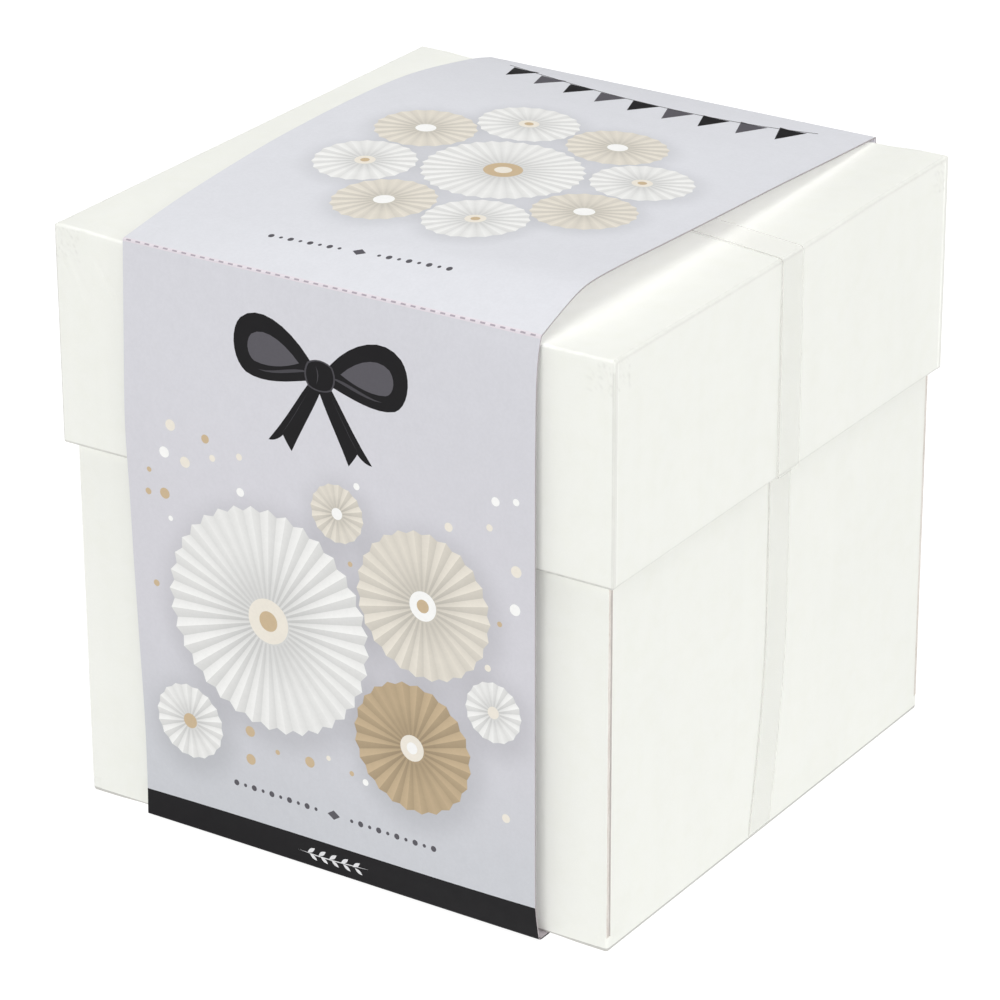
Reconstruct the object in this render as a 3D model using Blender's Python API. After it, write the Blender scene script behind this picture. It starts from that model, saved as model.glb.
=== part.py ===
"""Explosion box: a square card box with an over-fitting lid.

Lift the lid and three nested card layers, each a floor with four hinged
walls, fall open flat like petals around a small lidded gift box.  The outer
walls carry half-round wings, the middle and inner walls carry pockets, and
loose insert cards stand behind the wings and in the pockets.  A paper sleeve
is wrapped round the closed box from front to back, perforated along its top
front fold, and a strip of clear tape seals the lid to the right-hand wall.

Frame: metres, +Z up, the centre of the footprint on the surface it stands on
at the origin, front of the box towards -Y.
"""
import math

import bmesh
import bpy
from mathutils import Vector

# ---------------------------------------------------------------- dimensions
MM = 0.001

# Lid: one shell, open downwards.
LID_HALF = 62.0 * MM          # outside half width
LID_WALL = 1.0 * MM
LID_TOP = 120.0 * MM          # outside of the lid above the ground
LID_DEPTH = 44.4 * MM
LID_CORNER = 0.9 * MM         # outside radius of the four upright corners

# Nested layers: hinge line offset from the centre and above the ground, card
# thickness, wall height above the hinge line, floor board thickness.
OUTER = dict(hinge=60.20 * MM, z=0.60 * MM, card=1.0 * MM, tall=118.1 * MM, floor=2.35 * MM)
MIDDLE = dict(hinge=57.55 * MM, z=3.25 * MM, card=0.6 * MM, tall=110.0 * MM, floor=2.10 * MM)
INNER = dict(hinge=55.15 * MM, z=5.65 * MM, card=0.6 * MM, tall=102.0 * MM, floor=0.60 * MM)
GAP = 0.3 * MM                # clearance between touching pieces
STUD = 0.6 * MM               # overlap that joins the outer floor's corner feet to it
CORNER_LAP = 1.0 * MM         # the front and back outer walls lap over the side walls' ends

# Half-round wings folded flat behind the outer walls.
WING_DEPTH = 54.0 * MM        # how far a wing reaches from its fold
WING_HALF_TALL = 53.0 * MM
WING_MID = 60.0 * MM          # height of the wing's middle above the hinge line
WING_CARD = (1.3 * MM, 1.7 * MM)

# Pockets with a thumb notch, glued to the middle and inner walls.
POCKET_PANEL = (1.6 * MM, 2.0 * MM)
POCKET_FLANGE_BACK = 0.3 * MM # clearance left behind the flanges, over the wall's card
POCKET_FLANGE = 0.6 * MM
NOTCH_R = 11.0 * MM
POCKET_BOTTOM = 2.6 * MM

# Insert cards: layer, half width, lowest and highest edge, near and far face.
INSERT_OUTER = dict(half=47.0 * MM, low=3.0 * MM, high=98.0 * MM, near=2.0 * MM, far=2.4 * MM)
INSERT_MIDDLE = dict(half=44.0 * MM, low=3.4 * MM, high=88.0 * MM, near=0.9 * MM, far=1.3 * MM)
INSERT_INNER = dict(half=41.0 * MM, low=3.4 * MM, high=84.0 * MM, near=0.9 * MM, far=1.3 * MM)

# Gift box in the middle.
GIFT_HALF = 33.5 * MM
GIFT_LID_HALF = 35.0 * MM
GIFT_WALL = 0.8 * MM
GIFT_Z = 6.55 * MM
GIFT_TALL = 73.4 * MM
GIFT_LID_DEPTH = 25.0 * MM

# Paper sleeve round front, top, back and bottom.
SLEEVE_LEFT = -45.3 * MM
SLEEVE_RIGHT = 47.1 * MM
SLEEVE_PAPER = 0.3 * MM
SLEEVE_FACE = 62.5 * MM       # inside face of the front and back panels
SLEEVE_Z = 0.3 * MM           # hinge height of the two bottom folds
SLEEVE_TOP = 120.5 * MM       # underside of the top panel at its folds

# Clear tape down the middle of the right-hand side.
TAPE_WIDE = 8.0 * MM
TAPE_THICK = 0.1 * MM
TAPE_LIFT = 0.1 * MM
TAPE_MID = 0.5 * MM           # y of its middle on the lid's side
TAPE_SKEW = 4.4 * MM          # how much further back it starts on the lid's top
TAPE_FOOT_MID = -4.6 * MM     # y of its middle at the foot of the wall

SIDES = (("front", 0.0), ("right", 90.0), ("back", 180.0), ("left", 270.0))


# ------------------------------------------------------------------- helpers
def clear_scene():
    for ob in list(bpy.data.objects):
        bpy.data.objects.remove(ob, do_unlink=True)


def material(name, colour, roughness, metallic=0.0, alpha=1.0):
    mat = bpy.data.materials.new(name)
    mat.use_nodes = True
    bsdf = mat.node_tree.nodes["Principled BSDF"]
    bsdf.inputs["Base Color"].default_value = (*colour, 1.0)
    bsdf.inputs["Roughness"].default_value = roughness
    bsdf.inputs["Metallic"].default_value = metallic
    bsdf.inputs["Alpha"].default_value = alpha
    return mat


def empty(name, location, turn=0.0, parent=None):
    ob = bpy.data.objects.new(name, None)
    ob.empty_display_size = 0.01
    ob.location = location
    ob.rotation_euler = (0.0, 0.0, math.radians(turn))
    ob.parent = parent
    bpy.context.scene.collection.objects.link(ob)
    return ob


def finish(name, bm, mat, parent=None, location=(0.0, 0.0, 0.0)):
    """Make the object, with faces out and only its sharp corners sharp."""
    bmesh.ops.recalc_face_normals(bm, faces=bm.faces[:])
    mesh = bpy.data.meshes.new(name)
    bm.to_mesh(mesh)
    bm.free()
    mesh.materials.append(mat)
    mesh.shade_smooth()
    mesh.set_sharp_from_angle(angle=math.radians(30.0))
    ob = bpy.data.objects.new(name, mesh)
    ob.location = location
    ob.parent = parent
    bpy.context.scene.collection.objects.link(ob)
    return ob


def prism(bm, outline, near, far):
    """A flat sheet: outline in (x, height), from depth near to depth far."""
    low = [bm.verts.new((x, near, h)) for x, h in outline]
    top = [bm.verts.new((x, far, h)) for x, h in outline]
    bm.faces.new(low)
    bm.faces.new(top[::-1])
    n = len(outline)
    for i in range(n):
        j = (i + 1) % n
        bm.faces.new((low[i], low[j], top[j], top[i]))
    return bm


def arc(cx, cy, rx, ry, start, end, steps):
    return [
        (cx + rx * math.cos(math.radians(start + (end - start) * i / steps)),
         cy + ry * math.sin(math.radians(start + (end - start) * i / steps)))
        for i in range(steps + 1)
    ]


def rounded_rectangle(x0, x1, y0, y1, r, steps=4):
    pts = arc(x1 - r, y0 + r, r, r, -90, 0, steps)
    pts += arc(x1 - r, y1 - r, r, r, 0, 90, steps)
    pts += arc(x0 + r, y1 - r, r, r, 90, 180, steps)
    pts += arc(x0 + r, y0 + r, r, r, 180, 270, steps)
    return pts


def shell(name, half, wall, z_rim, z_end, end_card, corner, mat, location=(0.0, 0.0, 0.0)):
    """A square card shell, open at z_rim and closed at z_end."""
    bm = bmesh.new()
    towards_rim = 1.0 if z_rim > z_end else -1.0
    outer = rounded_rectangle(-half, half, -half, half, corner)
    inner = rounded_rectangle(-half + wall, half - wall, -half + wall, half - wall, max(corner - wall, 0.3 * MM))

    def loop(pts, z):
        return [bm.verts.new((x, y, z)) for x, y in pts]

    rings = [loop(outer, z_end), loop(outer, z_rim), loop(inner, z_rim), loop(inner, z_end + towards_rim * end_card)]
    n = len(outer)
    for a, b in zip(rings, rings[1:]):
        for i in range(n):
            j = (i + 1) % n
            bm.faces.new((a[i], a[j], b[j], b[i]))
    bm.faces.new(rings[0])
    bm.faces.new(rings[3])
    for v in bm.verts:
        v.co -= Vector(location)
    return finish(name, bm, mat, location=location)


# ------------------------------------------------------------- sleeve shape
# How far the top panel stands off the lid, along its left and right edges,
# from the front fold to the back fold: the slack of the paper.
LEFT_RISE = ((-62.8, 0.4), (-48.0, 2.5), (-28.5, 4.3), (-9.7, 5.4), (17.7, 5.7), (34.7, 4.8), (55.6, 1.7), (62.8, 0.0))
RIGHT_RISE = ((-62.8, 1.0), (-54.7, 4.0), (-48.4, 5.7), (-40.0, 5.9), (-17.7, 4.9), (19.7, 3.0), (46.0, 1.2), (62.8, 0.0))


# How far the front and back panels stand proud of the lid's plane, along the
# front panel's left and right edges, by height; the back is its half turn.
LEFT_BULGE = ((0.3, 0.0), (4.0, -0.2), (20.0, -0.2), (37.0, 0.05), (55.0, 0.75), (70.0, 1.2), (84.0, 1.7), (94.0, 1.35), (108.0, 0.65), (120.2, 0.0))
RIGHT_BULGE = ((0.3, 0.0), (3.0, 1.0), (7.0, 1.7), (14.0, 1.85), (94.0, 1.85), (105.0, 1.7), (113.0, 1.4), (118.5, 0.6), (120.2, 0.0))


def along(table, y_mm):
    """Smooth curve through the table's points (cubic Hermite)."""
    if y_mm <= table[0][0]:
        return table[0][1]
    if y_mm >= table[-1][0]:
        return table[-1][1]
    n = len(table)
    for i in range(n - 1):
        (a, fa), (b, fb) = table[i], table[i + 1]
        if a <= y_mm <= b:
            sa = (table[i + 1][1] - table[i - 1][1]) / (table[i + 1][0] - table[i - 1][0]) if i else (fb - fa) / (b - a)
            sb = (table[i + 2][1] - fa) / (table[i + 2][0] - a) if i + 2 < n else (fb - fa) / (b - a)
            t = (y_mm - a) / (b - a)
            w = b - a
            return ((2 * t**3 - 3 * t**2 + 1) * fa + (t**3 - 2 * t**2 + t) * w * sa
                    + (-2 * t**3 + 3 * t**2) * fb + (t**3 - t**2) * w * sb)
    return 0.0


def rise(x, y):
    t = (x - SLEEVE_LEFT) / (SLEEVE_RIGHT - SLEEVE_LEFT)
    t = t * t * (3.0 - 2.0 * t)
    return ((1.0 - t) * along(LEFT_RISE, y / MM) + t * along(RIGHT_RISE, y / MM)) * MM


def bulge(x, z):
    t = (x - SLEEVE_LEFT) / (SLEEVE_RIGHT - SLEEVE_LEFT)
    t = t * t * (3.0 - 2.0 * t)
    return ((1.0 - t) * along(LEFT_BULGE, z / MM) + t * along(RIGHT_BULGE, z / MM)) * MM


# ------------------------------------------------------------------- pieces
clear_scene()

board = material("white_board", (0.88, 0.885, 0.855), 0.55)
liner = material("layer_card", (0.86, 0.86, 0.83), 0.6)
insert = material("insert_card", (0.84, 0.80, 0.70), 0.65)
gift = material("gift_card", (0.88, 0.88, 0.86), 0.55)
paper = material("sleeve_paper", (0.62, 0.62, 0.66), 0.5)
tape = material("clear_tape", (0.95, 0.95, 0.93), 0.15, alpha=0.3)

# Lid, lifted straight up off the box.
lid_origin = (0.0, 0.0, LID_TOP)
shell("lid", LID_HALF, LID_WALL, LID_TOP - LID_DEPTH, LID_TOP, LID_WALL, LID_CORNER, board, lid_origin)

# The strip of tape on the lid: an L over its top right-hand edge.
bm = bmesh.new()
x_in = 36.0 * MM
x_side = LID_HALF + TAPE_LIFT
z_top = LID_TOP + TAPE_LIFT
z_rim = LID_TOP - LID_DEPTH
profile = (
    (x_in, z_top), (x_side, z_top), (x_side, z_rim),
    (x_side + TAPE_THICK, z_rim), (x_side + TAPE_THICK, z_top + TAPE_THICK), (x_in, z_top + TAPE_THICK),
)
ends = []
for y in (TAPE_MID - TAPE_WIDE / 2, TAPE_MID + TAPE_WIDE / 2):
    ends.append([bm.verts.new((x, y + (TAPE_SKEW if x == x_in else 0.0), z)) for x, z in profile])
bm.faces.new(ends[0])
bm.faces.new(ends[1][::-1])
for i in range(len(profile)):
    j = (i + 1) % len(profile)
    bm.faces.new((ends[0][i], ends[0][j], ends[1][j], ends[1][i]))
for v in bm.verts:
    v.co -= Vector(lid_origin)
finish("tape_on_lid", bm, tape, location=lid_origin)

# Floors of the three layers.  The outer one reaches out to the box's corners
# between the walls, so the slits at the corners stop above the ground.
for name, layer, mat in (("outer_floor", OUTER, board), ("middle_floor", MIDDLE, liner), ("inner_floor", INNER, liner)):
    half = layer["hinge"] - layer["card"] - GAP
    bm = bmesh.new()
    if name == "outer_floor":
        full, step = layer["hinge"], half - STUD
        r = 0.7 * MM
        foot = [(step, -half), (step, -full)] + arc(full - r, -full + r, r, r, -90, 0, 4) + [(full, -step), (half, -step)]
        pts = []
        for quarter in range(4):
            a = math.radians(90.0 * quarter)
            pts += [(x * math.cos(a) - y * math.sin(a), x * math.sin(a) + y * math.cos(a)) for x, y in foot]
    else:
        pts = rounded_rectangle(-half, half, -half, half, 0.5 * MM, 3)
    low = [bm.verts.new((x, y, layer["z"])) for x, y in pts]
    top = [bm.verts.new((x, y, layer["z"] + layer["floor"])) for x, y in pts]
    bm.faces.new(low[::-1])
    bm.faces.new(top)
    for i in range(len(pts)):
        j = (i + 1) % len(pts)
        bm.faces.new((low[i], low[j], top[j], top[i]))
    finish(name, bm, mat)


def hinge_empty(layer_name, layer, side, turn):
    a = math.radians(turn)
    at = (math.sin(a) * layer["hinge"], -math.cos(a) * layer["hinge"], layer["z"])
    return empty(f"fold_{layer_name}_{side}", at, turn)


def wall(name, layer, parent, mat, lap=0.0):
    """A wall card standing on its fold, with its two top corners softened."""
    half = layer["hinge"] - layer["card"] - GAP
    full = half + lap
    r = 1.5 * MM
    pts = [(-half, 0.0), (half, 0.0)]
    if layer is OUTER:
        # stepped in at the foot, where the floor's corner feet stand
        inset, step = half - STUD - GAP, layer["floor"] + GAP
        pts = [(-full, step), (-inset, step), (-inset, 0.0), (inset, 0.0), (inset, step), (full, step)]
    pts += arc(full - r, layer["tall"] - r, r, r, 0, 90, 3)
    pts += arc(-full + r, layer["tall"] - r, r, r, 90, 180, 3)
    return finish(name, prism(bmesh.new(), pts, 0.0, layer["card"]), mat, parent)


def wing(name, parent, hand):
    """Half-round wing, folded flat against the wall's inside."""
    edge = OUTER["hinge"] - OUTER["card"] - GAP - 0.4 * MM
    pts = [(hand * (edge - WING_DEPTH * math.cos(math.radians(a))), WING_MID + WING_HALF_TALL * math.sin(math.radians(a)))
           for a in [-90 + 180 * i / 28 for i in range(29)]]
    if hand < 0:
        pts = pts[::-1]
    return finish(name, prism(bmesh.new(), pts, *WING_CARD), liner, parent)


def pocket(name, parent, half, top, mat):
    """Pocket with folded flanges at both sides and the foot, and a thumb notch."""
    bm = bmesh.new()
    near, far = POCKET_PANEL
    back = POCKET_FLANGE_BACK + INNER["card"]
    b, f = POCKET_BOTTOM, POCKET_FLANGE
    notch = arc(0.0, top, NOTCH_R, NOTCH_R, 0, -180, 14)

    def v(x, d, h):
        return bm.verts.new((x, d, h))

    # front face and the far edge loop
    outer_pts = [(-half, b), (half, b), (half, top)] + notch + [(-half, top)]
    far_loop = [v(x, far, h) for x, h in outer_pts]
    # near side of the panel, inside the flanges
    inner_pts = [(-half + f, b + f), (half - f, b + f), (half - f, top)] + notch + [(-half + f, top)]
    near_loop = [v(x, near, h) for x, h in inner_pts]
    # flange edges at the wall
    out_back = [v(-half, back, b), v(half, back, b), v(half, back, top), v(-half, back, top)]
    in_back = [v(-half + f, back, b + f), v(half - f, back, b + f), v(half - f, back, top), v(-half + f, back, top)]
    bm.faces.new(far_loop)
    bm.faces.new(near_loop)
    nn = len(notch)
    # notch wall
    for i in range(nn - 1):
        bm.faces.new((far_loop[3 + i], far_loop[4 + i], near_loop[4 + i], near_loop[3 + i]))
    # outside of foot and sides
    bm.faces.new((far_loop[0], far_loop[1], out_back[1], out_back[0]))
    bm.faces.new((far_loop[1], far_loop[2], out_back[2], out_back[1]))
    bm.faces.new((far_loop[-1], far_loop[0], out_back[0], out_back[3]))
    # inside of foot and sides
    bm.faces.new((near_loop[0], near_loop[1], in_back[1], in_back[0]))
    bm.faces.new((near_loop[1], near_loop[2], in_back[2], in_back[1]))
    bm.faces.new((near_loop[-1], near_loop[0], in_back[0], in_back[3]))
    # edges of the flanges at the wall
    bm.faces.new((out_back[0], out_back[1], in_back[1], in_back[0]))
    bm.faces.new((out_back[1], out_back[2], in_back[2], in_back[1]))
    bm.faces.new((out_back[3], out_back[0], in_back[0], in_back[3]))
    # top edges, right and left
    bm.faces.new((far_loop[2], far_loop[3], near_loop[3], near_loop[2], in_back[2], out_back[2]))
    bm.faces.new((far_loop[-1], far_loop[2 + nn], near_loop[2 + nn], near_loop[-1], in_back[3], out_back[3]))
    return finish(name, bm, mat, parent)


def insert_card(name, parent, spec, style):
    """Loose insert: rounded card, card with a pull tab, or clipped tag."""
    x, lo, hi = spec["half"], spec["low"], spec["high"]
    if style == "rounded":
        pts = rounded_rectangle(-x, x, lo, hi, 5.0 * MM)
    elif style == "tab":
        pts = [(-x, lo), (x, lo)] + arc(x - 3 * MM, hi - 3 * MM, 3 * MM, 3 * MM, 0, 90, 3)
        pts += arc(0.0, hi, 12 * MM, 9 * MM, 0, 180, 10)
        pts += arc(-x + 3 * MM, hi - 3 * MM, 3 * MM, 3 * MM, 90, 180, 3)
    else:
        c = 11.0 * MM
        pts = [(-x, lo), (x, lo), (x, hi - c), (x - c, hi), (-x + c, hi), (-x, hi - c)]
    return finish(name, prism(bmesh.new(), pts, spec["near"], spec["far"]), insert, parent)


for side, turn in SIDES:
    fold = hinge_empty("outer", OUTER, side, turn)
    wall(f"outer_wall_{side}", OUTER, fold, board, CORNER_LAP if side in ("front", "back") else 0.0)
    wing(f"wing_{side}_left", fold, -1)
    wing(f"wing_{side}_right", fold, 1)
    insert_card(f"insert_outer_{side}", fold, INSERT_OUTER, "rounded")

    fold = hinge_empty("middle", MIDDLE, side, turn)
    wall(f"middle_wall_{side}", MIDDLE, fold, liner)
    pocket(f"middle_pocket_{side}", fold, 50.0 * MM, 66.0 * MM, liner)
    insert_card(f"insert_middle_{side}", fold, INSERT_MIDDLE, "tab")

    fold = hinge_empty("inner", INNER, side, turn)
    wall(f"inner_wall_{side}", INNER, fold, liner)
    pocket(f"inner_pocket_{side}", fold, 47.0 * MM, 58.0 * MM, liner)
    insert_card(f"insert_inner_{side}", fold, INSERT_INNER, "tag")

# The strip of tape on the right-hand outer wall, stopping under the lid's rim.
right_fold = bpy.data.objects["fold_outer_right"]
bm = bmesh.new()
foot, head = 0.5 * MM, LID_TOP - LID_DEPTH - 0.5 * MM - OUTER["z"]


def tape_centre(h):
    """It runs straight down, then drifts towards the front near the foot."""
    t = max(0.0, 1.0 - h / (46.0 * MM))
    return TAPE_MID + (TAPE_FOOT_MID - TAPE_MID) * t * t * (1.6 - 0.6 * t)


rows = []
steps = 10
for i in range(steps + 1):
    h = foot + (head - foot) * i / steps
    c = tape_centre(h)
    row = []
    # the fold's local x runs along the world's +y on this side
    for x in (c - TAPE_WIDE / 2, c + TAPE_WIDE / 2):
        row.append([bm.verts.new((x, -TAPE_LIFT - TAPE_THICK, h)), bm.verts.new((x, -TAPE_LIFT, h))])
    rows.append(row)
for a, b in zip(rows, rows[1:]):
    bm.faces.new((a[0][0], a[1][0], b[1][0], b[0][0]))
    bm.faces.new((a[0][1], a[1][1], b[1][1], b[0][1]))
    bm.faces.new((a[0][0], a[0][1], b[0][1], b[0][0]))
    bm.faces.new((a[1][0], a[1][1], b[1][1], b[1][0]))
for row in (rows[0], rows[-1]):
    bm.faces.new((row[0][0], row[0][1], row[1][1], row[1][0]))
finish("tape_on_wall", bm, tape, right_fold)

# Gift box in the middle, and its lid on the slide axis.
shell("gift_box_base", GIFT_HALF, GIFT_WALL, GIFT_Z + GIFT_TALL, GIFT_Z, GIFT_WALL, 0.7 * MM, gift, (0.0, 0.0, GIFT_Z))
gift_lid_top = GIFT_Z + GIFT_TALL + GAP + GIFT_WALL
shell("gift_box_lid", GIFT_LID_HALF, GIFT_WALL, gift_lid_top - GIFT_LID_DEPTH, gift_lid_top, GIFT_WALL, 0.7 * MM, gift,
      (0.0, 0.0, gift_lid_top))

# Sleeve: bottom panel, front and back panels on their bottom folds.
bm = bmesh.new()
y = SLEEVE_FACE - GAP
corners = [(SLEEVE_LEFT, -y), (SLEEVE_RIGHT, -y), (SLEEVE_RIGHT, y), (SLEEVE_LEFT, y)]
low = [bm.verts.new((a, b, 0.0)) for a, b in corners]
top = [bm.verts.new((a, b, SLEEVE_PAPER)) for a, b in corners]
bm.faces.new(low)
bm.faces.new(top)
for i in range(4):
    j = (i + 1) % 4
    bm.faces.new((low[i], low[j], top[j], top[i]))
finish("sleeve_bottom", bm, paper)



def sheet(nx, ny, inside, outside):
    """A curved sheet of paper: inside(i, j) and outside(i, j) give its two faces' points."""
    bm = bmesh.new()
    under = [[bm.verts.new(inside(i, j)) for j in range(ny + 1)] for i in range(nx + 1)]
    over = [[bm.verts.new(outside(i, j)) for j in range(ny + 1)] for i in range(nx + 1)]
    for i in range(nx):
        for j in range(ny):
            bm.faces.new((under[i][j], under[i + 1][j], under[i + 1][j + 1], under[i][j + 1]))
            bm.faces.new((over[i][j], over[i][j + 1], over[i + 1][j + 1], over[i + 1][j]))
    for i in range(nx):
        for j in (0, ny):
            bm.faces.new((under[i][j], under[i + 1][j], over[i + 1][j], over[i][j]))
    for j in range(ny):
        for i in (0, nx):
            bm.faces.new((under[i][j], under[i][j + 1], over[i][j + 1], over[i][j]))
    return bm


def across(i, n):
    return SLEEVE_LEFT + (SLEEVE_RIGHT - SLEEVE_LEFT) * i / n


NX, NZ, NY = 8, 24, 32
for name, sign in (("sleeve_front", -1.0), ("sleeve_back", 1.0)):
    tall = SLEEVE_TOP - GAP - SLEEVE_Z

    def share(j):
        return 0.5 * (1.0 - math.cos(math.pi * j / NZ))

    def up(i, j):
        # up to the fold, which the top panel lifts a little at the front
        return (tall + rise(across(i, NX), sign * (SLEEVE_FACE + SLEEVE_PAPER))) * share(j)

    def out(i, j):
        # the back panel's slack runs the other way across, as after a half turn
        x = across(i, NX)
        return bulge(x if sign < 0 else SLEEVE_LEFT + SLEEVE_RIGHT - x, SLEEVE_Z + tall * share(j))

    bm = sheet(NX, NZ, lambda i, j: (across(i, NX), sign * out(i, j), up(i, j)),
               lambda i, j: (across(i, NX), sign * (out(i, j) + SLEEVE_PAPER), up(i, j)))
    finish(name, bm, paper, location=(0.0, sign * SLEEVE_FACE, SLEEVE_Z))

# Sleeve: top panel, standing off the lid where the paper is slack.
Y_END = SLEEVE_FACE + SLEEVE_PAPER


def top_at(i, j, lift):
    x, y = across(i, 12), -Y_END * math.cos(math.pi * j / NY)
    return (x, y, rise(x, y) + lift)


bm = sheet(12, NY, lambda i, j: top_at(i, j, 0.0), lambda i, j: top_at(i, j, SLEEVE_PAPER))
finish("sleeve_top", bm, paper, location=(0.0, 0.0, SLEEVE_TOP))
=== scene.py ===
import math
import random

import bmesh
import bpy
import numpy as np
from mathutils import Matrix, Vector, noise
from mathutils.geometry import delaunay_2d_cdt


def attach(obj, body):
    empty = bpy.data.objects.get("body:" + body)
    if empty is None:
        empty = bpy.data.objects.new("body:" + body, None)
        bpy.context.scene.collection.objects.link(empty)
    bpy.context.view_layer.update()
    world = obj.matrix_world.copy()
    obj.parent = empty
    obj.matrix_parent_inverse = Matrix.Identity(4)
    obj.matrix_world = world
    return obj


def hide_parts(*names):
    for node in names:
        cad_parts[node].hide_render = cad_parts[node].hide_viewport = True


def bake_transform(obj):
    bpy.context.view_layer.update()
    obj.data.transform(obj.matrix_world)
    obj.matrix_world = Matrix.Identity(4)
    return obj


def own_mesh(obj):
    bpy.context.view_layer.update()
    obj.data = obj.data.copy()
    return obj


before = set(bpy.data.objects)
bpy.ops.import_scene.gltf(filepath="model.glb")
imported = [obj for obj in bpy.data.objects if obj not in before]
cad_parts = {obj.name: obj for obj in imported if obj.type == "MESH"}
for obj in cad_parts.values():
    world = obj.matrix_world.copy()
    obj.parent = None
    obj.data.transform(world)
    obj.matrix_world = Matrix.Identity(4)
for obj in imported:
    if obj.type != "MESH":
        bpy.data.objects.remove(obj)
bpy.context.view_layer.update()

MM = 0.001

# Sizes that the construction script fixes, in millimetres.
LID_HALF, LID_WALL, LID_TOP, LID_RIM = 62.0, 1.0, 120.0, 75.6
LAYERS = {
    "outer": dict(hinge=60.20, z=0.60, card=1.0, tall=118.1, floor=2.35),
    "middle": dict(hinge=57.55, z=3.25, card=0.6, tall=110.0, floor=2.10),
    "inner": dict(hinge=55.15, z=5.65, card=0.6, tall=102.0, floor=0.60),
}
GAP, STUD = 0.3, 0.6
SLEEVE_LEFT, SLEEVE_RIGHT, SLEEVE_FACE, PAPER = -45.3, 47.1, 62.5, 0.3
SLEEVE_TOP = 120.5
SIDES = (("front", 0.0), ("right", 90.0), ("back", 180.0), ("left", 270.0))


# ===================================================================== colour
def lin(r, g, b):
    """Linear colour of an sRGB one given 0 to 255."""
    out = []
    for c in (r / 255.0, g / 255.0, b / 255.0):
        out.append(c / 12.92 if c <= 0.04045 else ((c + 0.055) / 1.055) ** 2.4)
    return tuple(out)


def blend3(a, b, t):
    t = min(1.0, max(0.0, t))
    return tuple(x + (y - x) * t for x, y in zip(a, b))


def times(a, k):
    return tuple(x * k for x in a)


def smooth(a, b, x):
    t = min(1.0, max(0.0, (x - a) / (b - a)))
    return t * t * (3.0 - 2.0 * t)


# ================================================================== materials
class Mat:
    """A material's node tree, with short ways to add nodes."""

    def __init__(self, name, roughness=0.5, specular=0.3):
        self.mat = bpy.data.materials.new(name)
        self.mat.use_nodes = True
        self.tree = self.mat.node_tree
        self.bsdf = self.tree.nodes["Principled BSDF"]
        self.bsdf.inputs["Roughness"].default_value = roughness
        self.bsdf.inputs["Specular IOR Level"].default_value = specular
        self.where = self.tree.nodes.new("ShaderNodeTexCoord")

    def plug(self, socket, value):
        if isinstance(value, bpy.types.NodeSocket):
            self.tree.links.new(value, socket)
        else:
            socket.default_value = value

    def math(self, op, a, b=0.0, c=0.0, clamp=False):
        n = self.tree.nodes.new("ShaderNodeMath")
        n.operation, n.use_clamp = op, clamp
        for socket, value in zip(n.inputs, (a, b, c)):
            self.plug(socket, value)
        return n.outputs[0]

    def place(self, stretch=(1.0, 1.0, 1.0), offset=(0.0, 0.0, 0.0)):
        n = self.tree.nodes.new("ShaderNodeMapping")
        self.tree.links.new(self.where.outputs["Object"], n.inputs["Vector"])
        n.inputs["Scale"].default_value = stretch
        n.inputs["Location"].default_value = offset
        return n.outputs["Vector"]

    def noise(self, scale, detail=2.0, rough=0.5, stretch=None, offset=(0.0, 0.0, 0.0), warp=0.0):
        n = self.tree.nodes.new("ShaderNodeTexNoise")
        n.inputs["Scale"].default_value = scale
        n.inputs["Detail"].default_value = detail
        n.inputs["Roughness"].default_value = rough
        n.inputs["Distortion"].default_value = warp
        self.tree.links.new(self.place(stretch or (1.0, 1.0, 1.0), offset), n.inputs["Vector"])
        return n.outputs["Fac"]

    def remap(self, value, a, b, c, d, kind="SMOOTHSTEP"):
        n = self.tree.nodes.new("ShaderNodeMapRange")
        n.interpolation_type = kind
        self.plug(n.inputs["Value"], value)
        for name, x in (("From Min", a), ("From Max", b), ("To Min", c), ("To Max", d)):
            n.inputs[name].default_value = x
        return n.outputs["Result"]

    def mix(self, fac, a, b, mode="MIX"):
        n = self.tree.nodes.new("ShaderNodeMix")
        n.data_type, n.blend_type = "RGBA", mode
        self.plug(n.inputs[0], fac)
        self.plug(n.inputs[6], (*a, 1.0) if isinstance(a, tuple) else a)
        self.plug(n.inputs[7], (*b, 1.0) if isinstance(b, tuple) else b)
        return n.outputs[2]

    def attribute(self, name, output="Fac"):
        n = self.tree.nodes.new("ShaderNodeAttribute")
        n.attribute_type, n.attribute_name = "GEOMETRY", name
        return n.outputs[output]

    def bump(self, height, millimetres, strength=1.0, under=None):
        n = self.tree.nodes.new("ShaderNodeBump")
        n.inputs["Strength"].default_value = strength
        n.inputs["Distance"].default_value = millimetres * MM
        self.plug(n.inputs["Height"], height)
        if under is not None:
            self.tree.links.new(under, n.inputs["Normal"])
        return n.outputs["Normal"]

    def colour(self, value):
        self.plug(self.bsdf.inputs["Base Color"], value)

    def roughness(self, value):
        self.plug(self.bsdf.inputs["Roughness"], value)

    def normal(self, value):
        self.tree.links.new(value, self.bsdf.inputs["Normal"])


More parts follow.
